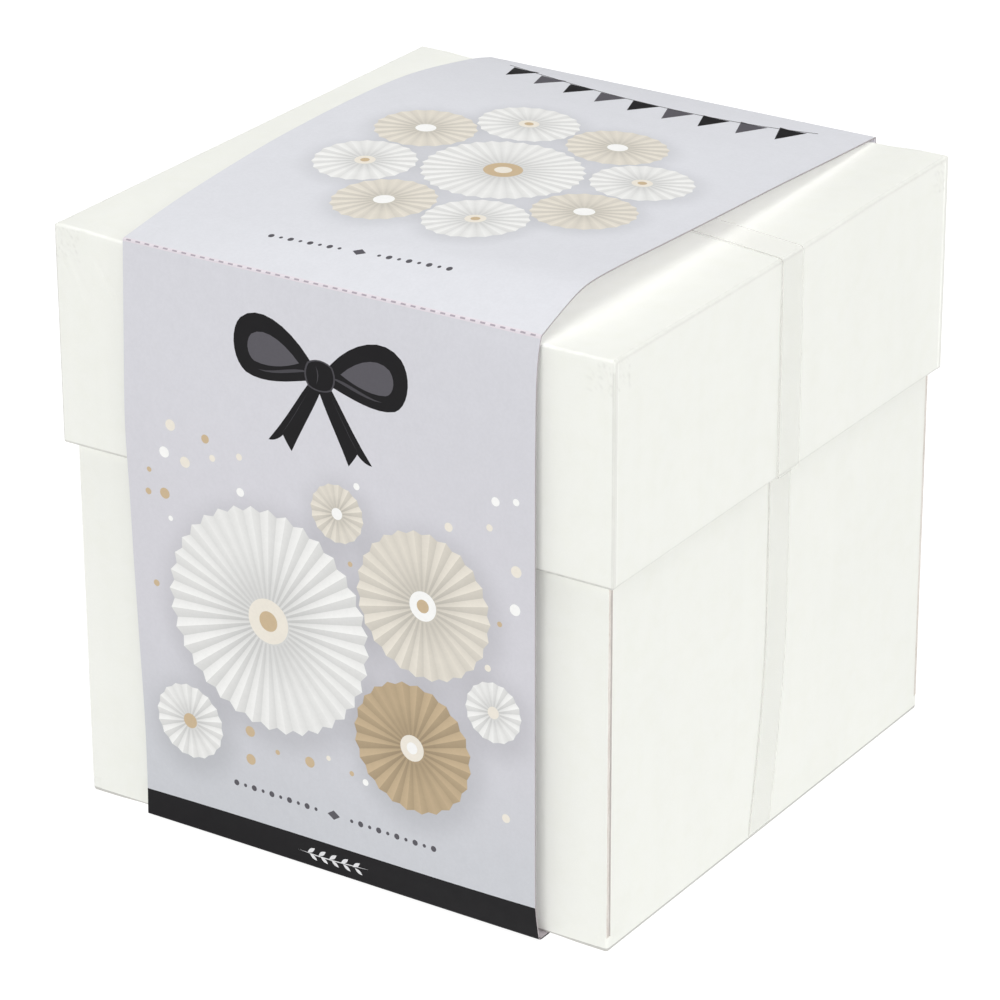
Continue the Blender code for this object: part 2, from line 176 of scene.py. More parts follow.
def card_material(name, tint, second=None, rough=0.55, specular=0.3, cloud=0.018, fibre=0.012, warp=0.25,
                  grain=0.0, specks=None, wear_and_highlight=None, grime_and_shade_tint=None, streak=0.008, laid=0.0):
    """Paper or card: cloudy tint, fibres, a little waviness, optional specks, laid lines, edges drawn lighter for
    scuffing and a painted highlight, and marks drawn darker for handling grime and painted shade.
    """
    m = Mat(name, rough, specular)
    broad = m.noise(38.0, 3.0, 0.55, warp=0.4)
    patch = m.noise(240.0, 3.0, 0.6)
    fine = m.noise(2300.0, 4.0, 0.7)
    run = m.noise(170.0, 2.0, 0.6, stretch=(1.0, 1.0, 0.10))
    shade = m.math("MULTIPLY_ADD", broad, 2.0 * cloud, 1.0 - cloud)
    shade = m.math("ADD", shade, m.remap(patch, 0.3, 0.7, -0.35 * cloud, 0.35 * cloud))
    shade = m.math("ADD", shade, m.remap(fine, 0.3, 0.7, -0.5 * cloud, 0.5 * cloud))
    shade = m.math("ADD", shade, m.remap(run, 0.35, 0.65, -streak, streak))
    base = m.mix(m.remap(patch, 0.35, 0.75, 0.0, 1.0), tint, second, "MIX") if second else tint
    if specks:
        spot_tint, share = specks
        spot = m.noise(900.0, 1.0, 0.4, offset=(3.1, 7.7, 1.9))
        long = m.noise(520.0, 2.0, 0.5, stretch=(1.0, 3.2, 1.0), offset=(1.3, 0.2, 5.0))
        mask = m.math("MAXIMUM", m.remap(spot, 0.70, 0.78, 0.0, share), m.remap(long, 0.69, 0.76, 0.0, 0.7 * share))
        base = m.mix(mask, base, spot_tint)
    if wear_and_highlight:
        # lighter where the edge attribute is set: scuffed paper and a painted highlight
        mark_mask = m.math("MULTIPLY", m.attribute("edge"), m.remap(m.noise(420.0, 3.0, 0.6), 0.35, 0.65, 0.25, 1.0))
        base = m.mix(mark_mask, base, wear_and_highlight)
    if grime_and_shade_tint:
        # darker where the mark attribute is set: handling grime and painted shade
        mark_mask = m.math("MULTIPLY", m.attribute("grime_and_shade"), m.remap(m.noise(520.0, 4.0, 0.65, stretch=(1.0, 1.0, 0.35)), 0.35, 0.62, 0.78, 1.0))
        base = m.mix(mark_mask, base, grime_and_shade_tint)
    m.colour(m.mix(1.0, base, shade, "MULTIPLY"))
    m.roughness(m.remap(patch, 0.2, 0.8, rough - 0.07, rough + 0.07))
    bump = m.bump(m.noise(26.0, 2.0, 0.5), warp)
    bump = m.bump(m.noise(620.0, 3.0, 0.6), 1.2 * fibre, 1.0, bump)
    bump = m.bump(fine, fibre, 1.0, bump)
    if grain:
        weave = m.tree.nodes.new("ShaderNodeTexVoronoi")
        weave.inputs["Scale"].default_value = 1300.0
        m.tree.links.new(m.place(), weave.inputs["Vector"])
        bump = m.bump(weave.outputs["Distance"], grain, 1.0, bump)
    if laid:
        wave = m.tree.nodes.new("ShaderNodeTexWave")
        wave.wave_type, wave.bands_direction = "BANDS", "Z"
        wave.inputs["Scale"].default_value = 420.0
        wave.inputs["Distortion"].default_value = 0.6
        wave.inputs["Detail"].default_value = 2.0
        m.tree.links.new(m.place(), wave.inputs["Vector"])
        bump = m.bump(wave.outputs["Fac"], laid, 1.0, bump)
    m.normal(bump)
    return m.mat


def cut_edge(name, tint, dark, axis, rough=0.8):
    """The cut edge of a board: thin layers across its thickness, pressed fibres along it."""
    m = Mat(name, rough, 0.15)
    stretch = [1.0, 1.0, 1.0]
    stretch["xyz".index(axis)] = 14.0
    layers = m.noise(210.0, 3.0, 0.6, stretch=tuple(stretch))
    fibres = m.noise(1500.0, 3.0, 0.7)
    long = m.noise(60.0, 2.0, 0.5)
    fac = m.math("ADD", m.remap(layers, 0.38, 0.62, 0.0, 0.75), m.remap(fibres, 0.3, 0.7, -0.15, 0.25), clamp=True)
    shade = m.remap(long, 0.3, 0.7, 0.95, 1.03)
    m.colour(m.mix(1.0, m.mix(fac, tint, dark), shade, "MULTIPLY"))
    m.roughness(m.remap(fibres, 0.3, 0.7, rough - 0.06, rough + 0.08))
    m.normal(m.bump(layers, 0.04, 1.0, m.bump(fibres, 0.03)))
    return m.mat


def print_material():
    """Coated paper printed on one side: the ink is in the mesh, the paper's tooth is here."""
    m = Mat("sleeve_print", 0.5, 0.1)
    broad = m.noise(55.0, 3.0, 0.55)
    screen = m.noise(1500.0, 2.0, 0.6)
    blotch = m.noise(330.0, 3.0, 0.6)
    shade = m.math("MULTIPLY_ADD", broad, 0.016, 0.992)
    shade = m.math("ADD", shade, m.remap(blotch, 0.3, 0.7, -0.009, 0.009))
    shade = m.math("ADD", shade, m.remap(screen, 0.3, 0.7, -0.012, 0.012))
    m.colour(m.mix(1.0, m.attribute("ink", "Color"), shade, "MULTIPLY"))
    m.roughness(m.remap(blotch, 0.2, 0.8, 0.46, 0.58))
    bump = m.bump(m.noise(30.0, 2.0, 0.5), 0.22)
    m.normal(m.bump(screen, 0.006, 1.0, m.bump(blotch, 0.01, 1.0, bump)))
    return m.mat


def tape_material(name, tint, alpha, rough, top=None):
    m = Mat(name, rough, 0.5)
    drift = m.noise(160.0, 3.0, 0.6, stretch=(1.0, 2.6, 0.5))
    crease = m.noise(70.0, 4.0, 0.65, stretch=(1.0, 0.6, 2.2), warp=0.8)
    split = m.tree.nodes.new("ShaderNodeSeparateXYZ")
    m.tree.links.new(m.where.outputs["Normal"], split.inputs[0])
    # faces turned upwards take the lighter top tint: a painted highlight
    base = m.mix(m.remap(split.outputs[2], 0.3, 0.8, 0.0, 1.0), tint, top or tint)
    m.colour(m.mix(1.0, base, m.remap(drift, 0.3, 0.7, 0.94, 1.04), "MULTIPLY"))
    m.roughness(m.remap(crease, 0.35, 0.7, rough - 0.04, rough + 0.14))
    m.normal(m.bump(crease, 0.10, 1.0, m.bump(drift, 0.03)))
    m.bsdf.inputs["Alpha"].default_value = alpha
    m.bsdf.inputs["IOR"].default_value = 1.49
    return m.mat


WHITE = lin(243, 244, 238)
# its lighter edge colour is scuffing with a painted highlight; its darker mark colour is handling grime with painted
# shade
white_board = card_material("white_board", WHITE, lin(241, 242, 235), rough=0.55, specular=0.22, cloud=0.012, fibre=0.008,
                            warp=0.16, wear_and_highlight=lin(254, 254, 250), grime_and_shade_tint=lin(196, 195, 190), streak=0.004)
white_wrap_end = card_material("wrapped_end", lin(240, 241, 236), rough=0.55, cloud=0.015, fibre=0.012, warp=0.05)
# the side boards' wrapped ends, drawn darker and pinker as painted shade in the corner slits
slit_shaded_end = card_material("board_end_painted_slit_shade", lin(212, 206, 203), rough=0.7, specular=0.15, cloud=0.03, fibre=0.02,
                          warp=0.05)
board_inside = card_material("board_inside", lin(232, 229, 219), lin(224, 220, 208), rough=0.75, specular=0.15,
                             cloud=0.03, fibre=0.03, warp=0.15, specks=(lin(196, 188, 172), 0.5))
board_core = {a: cut_edge(f"board_core_{a}", lin(232, 227, 221), lin(212, 204, 196), a) for a in "xyz"}
card_core = {a: cut_edge(f"card_core_{a}", lin(214, 194, 160), lin(176, 150, 112), a) for a in "xyz"}
layer_card = card_material("layer_card", lin(241, 240, 233), lin(237, 236, 228), rough=0.62, specular=0.2,
                           cloud=0.015, fibre=0.02, warp=0.3)
wing_card = card_material("wing_card", lin(243, 242, 237), rough=0.6, specular=0.22, cloud=0.014, fibre=0.016,
                          warp=0.35, grain=0.018)
liner_paper = card_material("liner_paper", lin(238, 236, 228), rough=0.6, specular=0.2, cloud=0.015, fibre=0.015,
                            warp=0.2, laid=0.012)
insert_tints = {
    "outer": card_material("insert_cream", lin(238, 230, 212), lin(233, 223, 203), rough=0.65, specular=0.18,
                           cloud=0.02, fibre=0.02, warp=0.3, grain=0.022),
    "middle": card_material("insert_kraft", lin(205, 176, 136), lin(192, 161, 120), rough=0.72, specular=0.14,
                            cloud=0.04, fibre=0.03, warp=0.3, specks=(lin(150, 116, 78), 0.55), streak=0.02),
    "inner": card_material("insert_natural", lin(228, 214, 188), lin(220, 203, 174), rough=0.68, specular=0.16,
                           cloud=0.03, fibre=0.025, warp=0.3, specks=(lin(186, 160, 122), 0.4)),
}
# its lighter edge colour is scuffing with a painted highlight
gift_card = card_material("gift_card", lin(244, 243, 239), rough=0.6, specular=0.22, cloud=0.014, fibre=0.02,
                          warp=0.15, grain=0.02, wear_and_highlight=lin(248, 247, 243))
gift_inside = card_material("gift_inside", lin(233, 230, 221), rough=0.7, specular=0.15, cloud=0.03, fibre=0.03,
                            warp=0.1, specks=(lin(200, 190, 170), 0.35))
hinge_paper = card_material("hinge_paper", lin(243, 243, 237), rough=0.58, specular=0.25, cloud=0.02, fibre=0.015,
                            warp=0.03)
sleeve_print = print_material()
sleeve_back_face = card_material("sleeve_unprinted", lin(242, 239, 248), rough=0.6, specular=0.2, cloud=0.012,
                                 fibre=0.012, warp=0.2)
# cut edges and the folds' insides, drawn darker and pinker than the paper as painted shade
sleeve_cut_shaded = card_material("sleeve_cut_edge_painted_shade", lin(176, 169, 172), rough=0.7, specular=0.15, cloud=0.03, fibre=0.02,
                           warp=0.02)
# its top tint is a painted highlight
clear_tape = tape_material("clear_tape", lin(214, 214, 210), 0.05, 0.14, top=lin(255, 251, 251))
tape_cut = tape_material("clear_tape_edge", lin(206, 206, 198), 0.45, 0.25)


# ==================================================================== meshes
def build(name, bm, mats, body, nodes=(), sharp=35.0, recalc=True, blend=None):
    """Turn bm into an object that rides on its body and stands for its nodes; when blend is given, it keeps its place
    and rides on no body.
    """
    if recalc:
        bmesh.ops.recalc_face_normals(bm, faces=bm.faces[:])
    mesh = bpy.data.meshes.new(name)
    bm.to_mesh(mesh)
    bm.free()
    for mat in mats:
        mesh.materials.append(mat)
    mesh.shade_smooth()
    already = np.zeros(len(mesh.edges), bool)
    if "sharp_edge" in mesh.attributes:
        mesh.attributes["sharp_edge"].data.foreach_get("value", already)
    mesh.set_sharp_from_angle(angle=math.radians(sharp))
    now = np.zeros(len(mesh.edges), bool)
    if "sharp_edge" in mesh.attributes:
        mesh.attributes["sharp_edge"].data.foreach_get("value", now)
        mesh.attributes["sharp_edge"].data.foreach_set("value", already | now)
    ob = bpy.data.objects.new(name, mesh)
    bpy.context.scene.collection.objects.link(ob)
    if blend:
        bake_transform(ob)
    else:
        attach(ob, body)
    if nodes:
        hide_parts(*nodes)
    return ob


def to_side(layer, turn):
    """From a wall's own frame (across, inwards, up; mm) to the world (m)."""
    a = math.radians(turn)
    c, s = round(math.cos(a)), round(math.sin(a))

    def go(x, d, h):
        y = d - layer["hinge"]
        return Vector(((x * c - y * s) * MM, (x * s + y * c) * MM, (layer["z"] + h) * MM))

    return go


def flat_to_world(x, d, h):
    return Vector((x * MM, h * MM, d * MM))


def arc(cx, cy, rx, ry, start, end, steps):
    return [(cx + rx * math.cos(math.radians(start + (end - start) * i / steps)),
             cy + ry * math.sin(math.radians(start + (end - start) * i / steps))) for i in range(steps + 1)]


def rounded_rectangle(x0, x1, y0, y1, r, steps=6):
    pts = arc(x1 - r, y0 + r, r, r, -90, 0, steps)
    pts += arc(x1 - r, y1 - r, r, r, 0, 90, steps)
    pts += arc(x0 + r, y1 - r, r, r, 90, 180, steps)
    pts += arc(x0 + r, y0 + r, r, r, 180, 270, steps)
    return pts


def card_into(bm, outline, d0, d1, go, ease=0.12, segments=3, face_slot=0, edge_slot=1, end_rule=None, crisp=None):
    """A card: its outline in (across, up), between depths d0 and d1, with eased edges.
    Its flat faces get face_slot, its cut edges edge_slot, or what end_rule(normal) says.
    Edges whose middle (across, up) crisp() picks are left uneased."""
    new = bmesh.new()
    near = [new.verts.new((x, d0, h)) for x, h in outline]
    far = [new.verts.new((x, d1, h)) for x, h in outline]
    new.faces.new(near)
    new.faces.new(far[::-1])
    n = len(outline)
    for i in range(n):
        j = (i + 1) % n
        new.faces.new((near[i], near[j], far[j], far[i]))
    bmesh.ops.recalc_face_normals(new, faces=new.faces[:])
    if ease:
        rims = [e for e in new.edges if all(abs(v.co.y - d0) < 1e-6 for v in e.verts)
                or all(abs(v.co.y - d1) < 1e-6 for v in e.verts)]
        if crisp:
            rims = [e for e in rims if not crisp((e.verts[0].co.x + e.verts[1].co.x) / 2, (e.verts[0].co.z + e.verts[1].co.z) / 2)]
        bmesh.ops.bevel(new, geom=rims, offset=ease, offset_type="OFFSET", segments=segments, profile=0.5,
                        affect="EDGES", clamp_overlap=True)
    for f in new.faces:
        flat = abs(f.normal.y) > 0.999
        f.material_index = face_slot
        if abs(f.normal.y) < 0.6:
            f.material_index = edge_slot if end_rule is None else end_rule(f.normal)
        f.tag = flat
    new.edges.ensure_lookup_table()
    marks = [(e.verts[0].index, e.verts[1].index) for e in new.edges
             if len(e.link_faces) == 2 and e.link_faces[0].tag != e.link_faces[1].tag]
    new.verts.index_update()
    new.verts.ensure_lookup_table()
    made = [bm.verts.new(go(*v.co)) for v in new.verts]
    for f in new.faces:
        g = bm.faces.new([made[v.index] for v in f.verts])
        g.material_index = f.material_index
    for e in new.edges:
        if len(e.link_faces) == 2 and e.link_faces[0].tag != e.link_faces[1].tag:
            g = bm.edges.get((made[e.verts[0].index], made[e.verts[1].index]))
            if g:
                g.smooth = False
    new.free()
    return bm


# ------------------------------------------------------------- square shells
def loop_points(half, r, along_side, nc):
    """A loop round a square with rounded corners, from above anticlockwise, front side first."""
    pts = []
    flat = half - r
    for k in range(4):
        c, s = (1, 0, -1, 0)[k], (0, 1, 0, -1)[k]
        for f in along_side:
            x, y = -flat + 2.0 * flat * f, -half
            pts.append((x * c - y * s, x * s + y * c, s, -c, k, x, 0.0))
        for j in range(1, nc):
            t = math.radians(-90.0 + 90.0 * j / nc)
            x, y = flat + r * math.cos(t), -flat + r * math.sin(t)
            nx, ny = math.cos(t), math.sin(t)
            pts.append((x * c - y * s, x * s + y * c, nx * c - ny * s, nx * s + ny * c, k, None, 1.0))
    return pts


def shell(name, half, corner, along_mm, stations, mats, body, node, dent=None, dish=None, marks=None,
          step=4.0, nc=8, sharp=40.0, swell=None):
    """A box shell.  stations are (inset, z, material, rounding share) from the closed face's rim, over the edge, down
    the outside, round the open rim and up the inside.  The closed face is filled and may be dished."""
    bm = bmesh.new()
    edge_layer = bm.verts.layers.float.new("edge")
    grime_and_shade_layer = bm.verts.layers.float.new("grime_and_shade")
    flat = half - corner
    side = [(x + flat) / (2.0 * flat) for x in along_mm]
    rings = []
    for inset, z, slot_index, share in stations:
        ring = []
        for x, y, nx, ny, k, u, at_corner in loop_points(half - inset, max(corner - inset, 0.06), side, nc):
            push = dent(x, y, z, nx, ny, k, u, inset) if dent else 0.0
            at = (x - nx * push, y - ny * push, z)
            v = bm.verts.new([c * MM for c in (swell(*at) if swell else at)])
            # without marks, the edge attribute lightens the paper over roundings and upright corners: a painted
            # highlight with scuffing
            v[edge_layer], v[grime_and_shade_layer] = marks(k, u, z, inset, share) if marks else (max(share, 0.8 * at_corner), 0.0)
            ring.append(v)
        rings.append(ring)
    n = len(rings[0])
    for (a, b), st in zip(zip(rings, rings[1:]), stations[1:]):
        for i in range(n):
            j = (i + 1) % n
            f = bm.faces.new((a[i], a[j], b[j], b[i]))
            f.material_index = st[2]
    # the closed outer face, filled inside its first ring
    first = rings[0]
    rim = [Vector((v.co.x / MM, v.co.y / MM)) for v in first]
    z0 = stations[0][1]
    inner = half - stations[0][0] - 1.2
    count = max(2, int(round(2.0 * inner / step)))
    pts = list(rim)
    for i in range(count + 1):
        for j in range(count + 1):
            pts.append(Vector((-inner + 2.0 * inner * i / count, -inner + 2.0 * inner * j / count)))
    edges = [(i, (i + 1) % n) for i in range(n)]
    out = delaunay_2d_cdt(pts, edges, [], 1, 1e-5)
    made = []
    for p, sources in zip(out[0], out[3]):
        hit = [s for s in sources if s < n]
        if hit:
            made.append(first[hit[0]])
        else:
            dz = dish(p.x, p.y) if dish else 0.0
            at = (p.x, p.y, z0 + dz)
            v = bm.verts.new([c * MM for c in (swell(*at) if swell else at)])
            v[edge_layer] = 0.0
            made.append(v)
    for tri in out[2]:
        f = bm.faces.new([made[i] for i in tri])
        f.material_index = 0
    f = bm.faces.new(rings[-1])
    f.material_index = stations[-1][2]
    return build(name, bm, mats, body, (node,), sharp=sharp)


def rounding(radius, z_face, sign, slot_index, steps=6):
    """Stations over the edge between the closed face and the sides; sign is +1 when the closed face is on top."""
    out = []
    for i in range(steps + 1):
        t = math.radians(90.0 * i / steps)
        # share: how much lighter the paper is drawn over the rounding, a painted highlight with scuffing
        share = math.sin(2.0 * t) ** 0.7 if 0 < i < steps else 0.15
        out.append((radius * (1.0 - math.sin(t)), z_face - sign * radius * (1.0 - math.cos(t)), slot_index, share))
    return out


def rim_stations(wall, z_rim, sign, r_out, r_in, slot_index, turn_in, lip, inner_slot, z_inner):
    """Round the open rim, up the turned-in paper, over its edge, and up the bare inside."""
    out = []
    for i in range(5):
        t = math.radians(90.0 * i / 4)
        out.append((r_out * (1.0 - math.cos(t)), z_rim + sign * r_out * (1.0 - math.sin(t)), slot_index, 0.6 if 0 < i else 0.2))
    for i in range(5):
        t = math.radians(90.0 * i / 4)
        out.append((wall - r_in * (1.0 - math.sin(t)), z_rim + sign * r_in * (1.0 - math.cos(t)), slot_index, 0.5 if i < 4 else 0.1))
    end = z_rim + sign * turn_in
    out.append((wall, end, slot_index, 0.1))
    out.append((wall - 0.02, end + sign * 0.06, slot_index, 0.3))
    out.append((wall - lip, end + sign * 0.1, inner_slot, 0.0))
    out.append((wall - lip, z_inner - sign * 0.4, inner_slot, 0.0))
    out.append((wall, z_inner, inner_slot, 0.0))
    return out


# ======================================================================= lid
def crease(x, z, x0, z0, x1, z1, deep, wide):
    """Depth of a soft crease along a line, fading at its ends."""
    dx, dz = x1 - x0, z1 - z0
    long = math.hypot(dx, dz)
    t = ((x - x0) * dx + (z - z0) * dz) / (long * long)
    if t < -0.2 or t > 1.2:
        return 0.0
    off = ((x - x0) * dz - (z - z0) * dx) / long
    # a shallow valley beside a lower ridge, as paper buckles
    profile = math.exp(-((off / wide) ** 2)) - 0.45 * math.exp(-(((off - 1.3 * wide) / wide) ** 2))
    return deep * profile * smooth(-0.15, 0.15, t) * (1.0 - smooth(0.85, 1.15, t))


LID_CREASES = (
    (-52.9, 115.0, -47.4, 107.0, 0.16, 0.55),
    (-58.6, 114.6, -54.2, 105.2, 0.10, 0.60),
    (-60.4, 112.9, -58.8, 110.6, 0.09, 0.40),
    (-55.8, 117.6, -53.5, 113.8, 0.05, 0.45),
)


def lid_dent(x, y, z, nx, ny, k, u, inset):
    """How far the lid's paper lies inside its nominal face, in mm."""
    d = 0.05 + 0.05 * noise.noise(Vector((x * 0.035, y * 0.035, z * 0.045)))
    d += 0.012 * noise.noise(Vector((x * 0.22, y * 0.22, z * 0.22 + 9.0)))
    if inset > 0.9:
        return -d * 0.5
    if u is not None:
        # the front and back flaps wrap 1.4 mm round the corners, over the side flaps
        if k in (1, 3):
            d += 0.085 * (1.0 - smooth(60.55, 60.65, abs(u)))
        if k == 0:
            for line in LID_CREASES:
                d += crease(x, z, *line)
        # small puckers where the paper is pulled over the top corners
        near = max(0.0, 1.0 - (61.2 - abs(u)) / 9.0) * smooth(LID_TOP - 11.0, LID_TOP - 1.5, z)
        if near > 0.0:
            d += 0.05 * near * (0.5 + 0.5 * noise.noise(Vector((u * 0.9, z * 0.5, 3.0 + k))))
    # the rim's board bows in a touch between the corners
    if u is not None:
        d += 0.16 * (1.0 - (u / 62.0) ** 2) * smooth(LID_TOP - 8.0, LID_RIM, z)
    return max(0.0, d)


def lid_marks(k, u, z, inset, share):
    """Lighter and greyer marks in the paper: a painted highlight with some scuffing along the top edges, a painted
    shadow line round the foot of the rim, painted shade along the side top edges, greyer upright corners that are
    lighter near their tops, greyer corner strips, lighter lines at the wrap's cut edges, and grey handling marks near
    the top corners.
    """
    # light along the top edges is a painted highlight with some scuffing
    light, grey = share * (0.55, 0.0, 0.3, 0.2)[k], 0.0
    if inset < 0.5:
        # grey here is a painted shadow line along the foot of the rim
        if z < LID_RIM + 0.45:
            light, grey = 0.0, 0.9 if k in (0, 2) else 0.4
        elif u is None:
            grey = 0.5 if z < LID_TOP - 2.5 else 0.25
            light = 0.0 if z < LID_TOP - 2.5 else 0.4
        elif k in (1, 3):
            # grey here is painted shade along the side top edges
            if z > LID_TOP - 0.75:
                grey = 0.3 if k == 1 else 0.25
            if 60.5 < abs(u) < 60.7:
                light = max(light, 0.75)
            elif abs(u) > 60.9:
                grey = max(grey, 0.22)
        if u is not None and LID_TOP - 6.5 < z < LID_TOP - 0.5 and abs(u) > 56.0:
            grey = max(grey, 0.5 * max(0.0, noise.noise(Vector((u * 1.7, z * 1.3, 7.0 + k))) - 0.05))
    return light, grey


def lid_dish(x, y):
    edge = (1.0 - (x / 61.0) ** 2) * (1.0 - (y / 61.0) ** 2)
    wave = noise.noise(Vector((x * 0.03, y * 0.03, 4.0)))
    return -max(0.0, edge) * (0.22 + 0.12 * wave)


def lid_swell(x, y, z):
    """The lid's board stands a little proud on the left and at the back right, outside the sleeve."""
    left, right = smooth(46.0, 57.0, -x), smooth(47.5, 57.0, x) * smooth(8.0, 34.0, y)
    high = smooth(LID_RIM + 6.0, LID_TOP - 4.0, z)
    return x - 0.3 * left, y, z + high * (0.5 * left + 0.45 * right)


def spread(marks):
    """Positions from (end, spacing) runs."""
    out = [marks[0]]
    for end, gap in marks[1:]:
        start = out[-1]
        n = max(1, int(round(abs(end - start) / gap)))
        out += [start + (end - start) * (i + 1) / n for i in range(n)]
    return out


LID_EASE = 0.5                          # the board's upright corners
lid_flat = LID_HALF - LID_EASE
lid_side = spread([-lid_flat, (-61.15, 0.18), (-61.0, 0.15), (-60.65, 0.2), (-60.55, 0.1), (-60.3, 0.25), (-44.0, 0.5),
                   (-36.0, 1.6), (48.0, 3.2), (57.0, 1.5), (60.3, 0.55), (60.55, 0.25), (60.65, 0.1), (61.0, 0.2),
                   (61.15, 0.15), (lid_flat, 0.18)])
lid_heights = spread([LID_TOP - 0.8 - 0.2, (LID_TOP - 2.0, 0.5), (104.0, 0.55), (LID_RIM + 2.0, 2.4), (LID_RIM + 0.6, 0.7), (LID_RIM + 0.35, 0.25)])
stations = [(0.6 + 0.35, LID_TOP, 0, 0.0)] + rounding(0.6, LID_TOP, 1.0, 0, 7)
stations += [(0.0, z, 0, 0.1 if z > LID_TOP - 1.5 else 0.0) for z in lid_heights]
stations += rim_stations(LID_WALL, LID_RIM, 1.0, 0.32, 0.25, 0, 13.0, 0.12, 1, LID_TOP - LID_WALL)
shell("lid_shell", LID_HALF, LID_EASE, lid_side, stations, [white_board, board_inside], "lid", "lid",
      dent=lid_dent, dish=lid_dish, marks=lid_marks, step=4.0, swell=lid_swell)

# ================================================================== gift box
gift_z, gift_tall = 6.55, 73.4
g_side = spread([-32.8, (-31.8, 0.33), (31.8, 3.2), (32.8, 0.33)])


def gift_dent(x, y, z, nx, ny, k, u, inset):
    d = 0.04 + 0.035 * noise.noise(Vector((x * 0.06, y * 0.06, z * 0.06 + 2.0)))
    if inset > 0.5:
        return -0.3 * d
    if u is not None and k in (1, 3):
        d += 0.06 * (1.0 - smooth(31.9, 32.1, abs(u)))
    return max(0.0, d)


stations = [(0.85, gift_z, 0, 0.0)] + rounding(0.5, gift_z, -1.0, 0, 5)
stations += [(0.0, z, 0, 0.0) for z in spread([gift_z + 0.8, (gift_z + gift_tall - 0.6, 3.0)])]
stations += rim_stations(0.8, gift_z + gift_tall, -1.0, 0.22, 0.2, 0, 10.0, 0.1, 1, gift_z + 0.8)
shell("gift_base_shell", 33.5, 0.7, g_side, stations, [gift_card, gift_inside], "box_floor",
      "gift_box_base", dent=gift_dent, step=6.0)

gl_top = gift_z + gift_tall + GAP + 0.8
gl_rim = gl_top - 25.0
gl_side = spread([-34.3, (-33.3, 0.33), (33.3, 3.2), (34.3, 0.33)])


def gift_lid_dent(x, y, z, nx, ny, k, u, inset):
    d = 0.04 + 0.03 * noise.noise(Vector((x * 0.07 + 5.0, y * 0.07, z * 0.07)))
    if inset > 0.5:
        return -0.3 * d
    if u is not None and k in (1, 3):
        d += 0.06 * (1.0 - smooth(33.4, 33.6, abs(u)))
    return max(0.0, d)


stations = [(0.85, gl_top, 0, 0.0)] + rounding(0.5, gl_top, 1.0, 0, 5)
stations += [(0.0, z, 0, 0.0) for z in spread([gl_top - 0.8, (gl_rim + 0.6, 2.6)])]
stations += rim_stations(0.8, gl_rim, 1.0, 0.22, 0.2, 0, 8.0, 0.1, 1, gl_top - 0.8)
shell("gift_lid_shell", 35.0, 0.7, gl_side, stations, [gift_card, gift_inside], "gift_box_lid",
      "gift_box_lid", dent=gift_lid_dent,
      dish=lambda x, y: -0.12 * max(0.0, (1 - (x / 34) ** 2) * (1 - (y / 34) ** 2)), step=6.0)

# ==================================================================== floors
outer, middle, inner_l = LAYERS["outer"], LAYERS["middle"], LAYERS["inner"]
half_floor = outer["hinge"] - outer["card"] - GAP

FOOT_EASE = 0.5                        # rounding of the fold along the foot
LOW = 0.27                              # the board's own underside, closer to the sleeve's paper than its hinge line


def settle(p):
    """Outside the sleeve's bottom panel, the wrapping paper along the foot settles on to the table."""
    z = p.z / MM
    p.z -= 0.28 * MM * smooth(47.6, 55.0, abs(p.x) / MM) * (1.0 - smooth(outer["z"] - LOW, outer["z"] - LOW + FOOT_EASE, z))
    return p


bm = bmesh.new()
foot_painted_shade = bm.verts.layers.float.new("grime_and_shade")
card_into(bm, rounded_rectangle(-half_floor, half_floor, -half_floor, half_floor, 0.3, 2), outer["z"] - LOW,
          outer["z"] + outer["floor"], flat_to_world, ease=0.1)
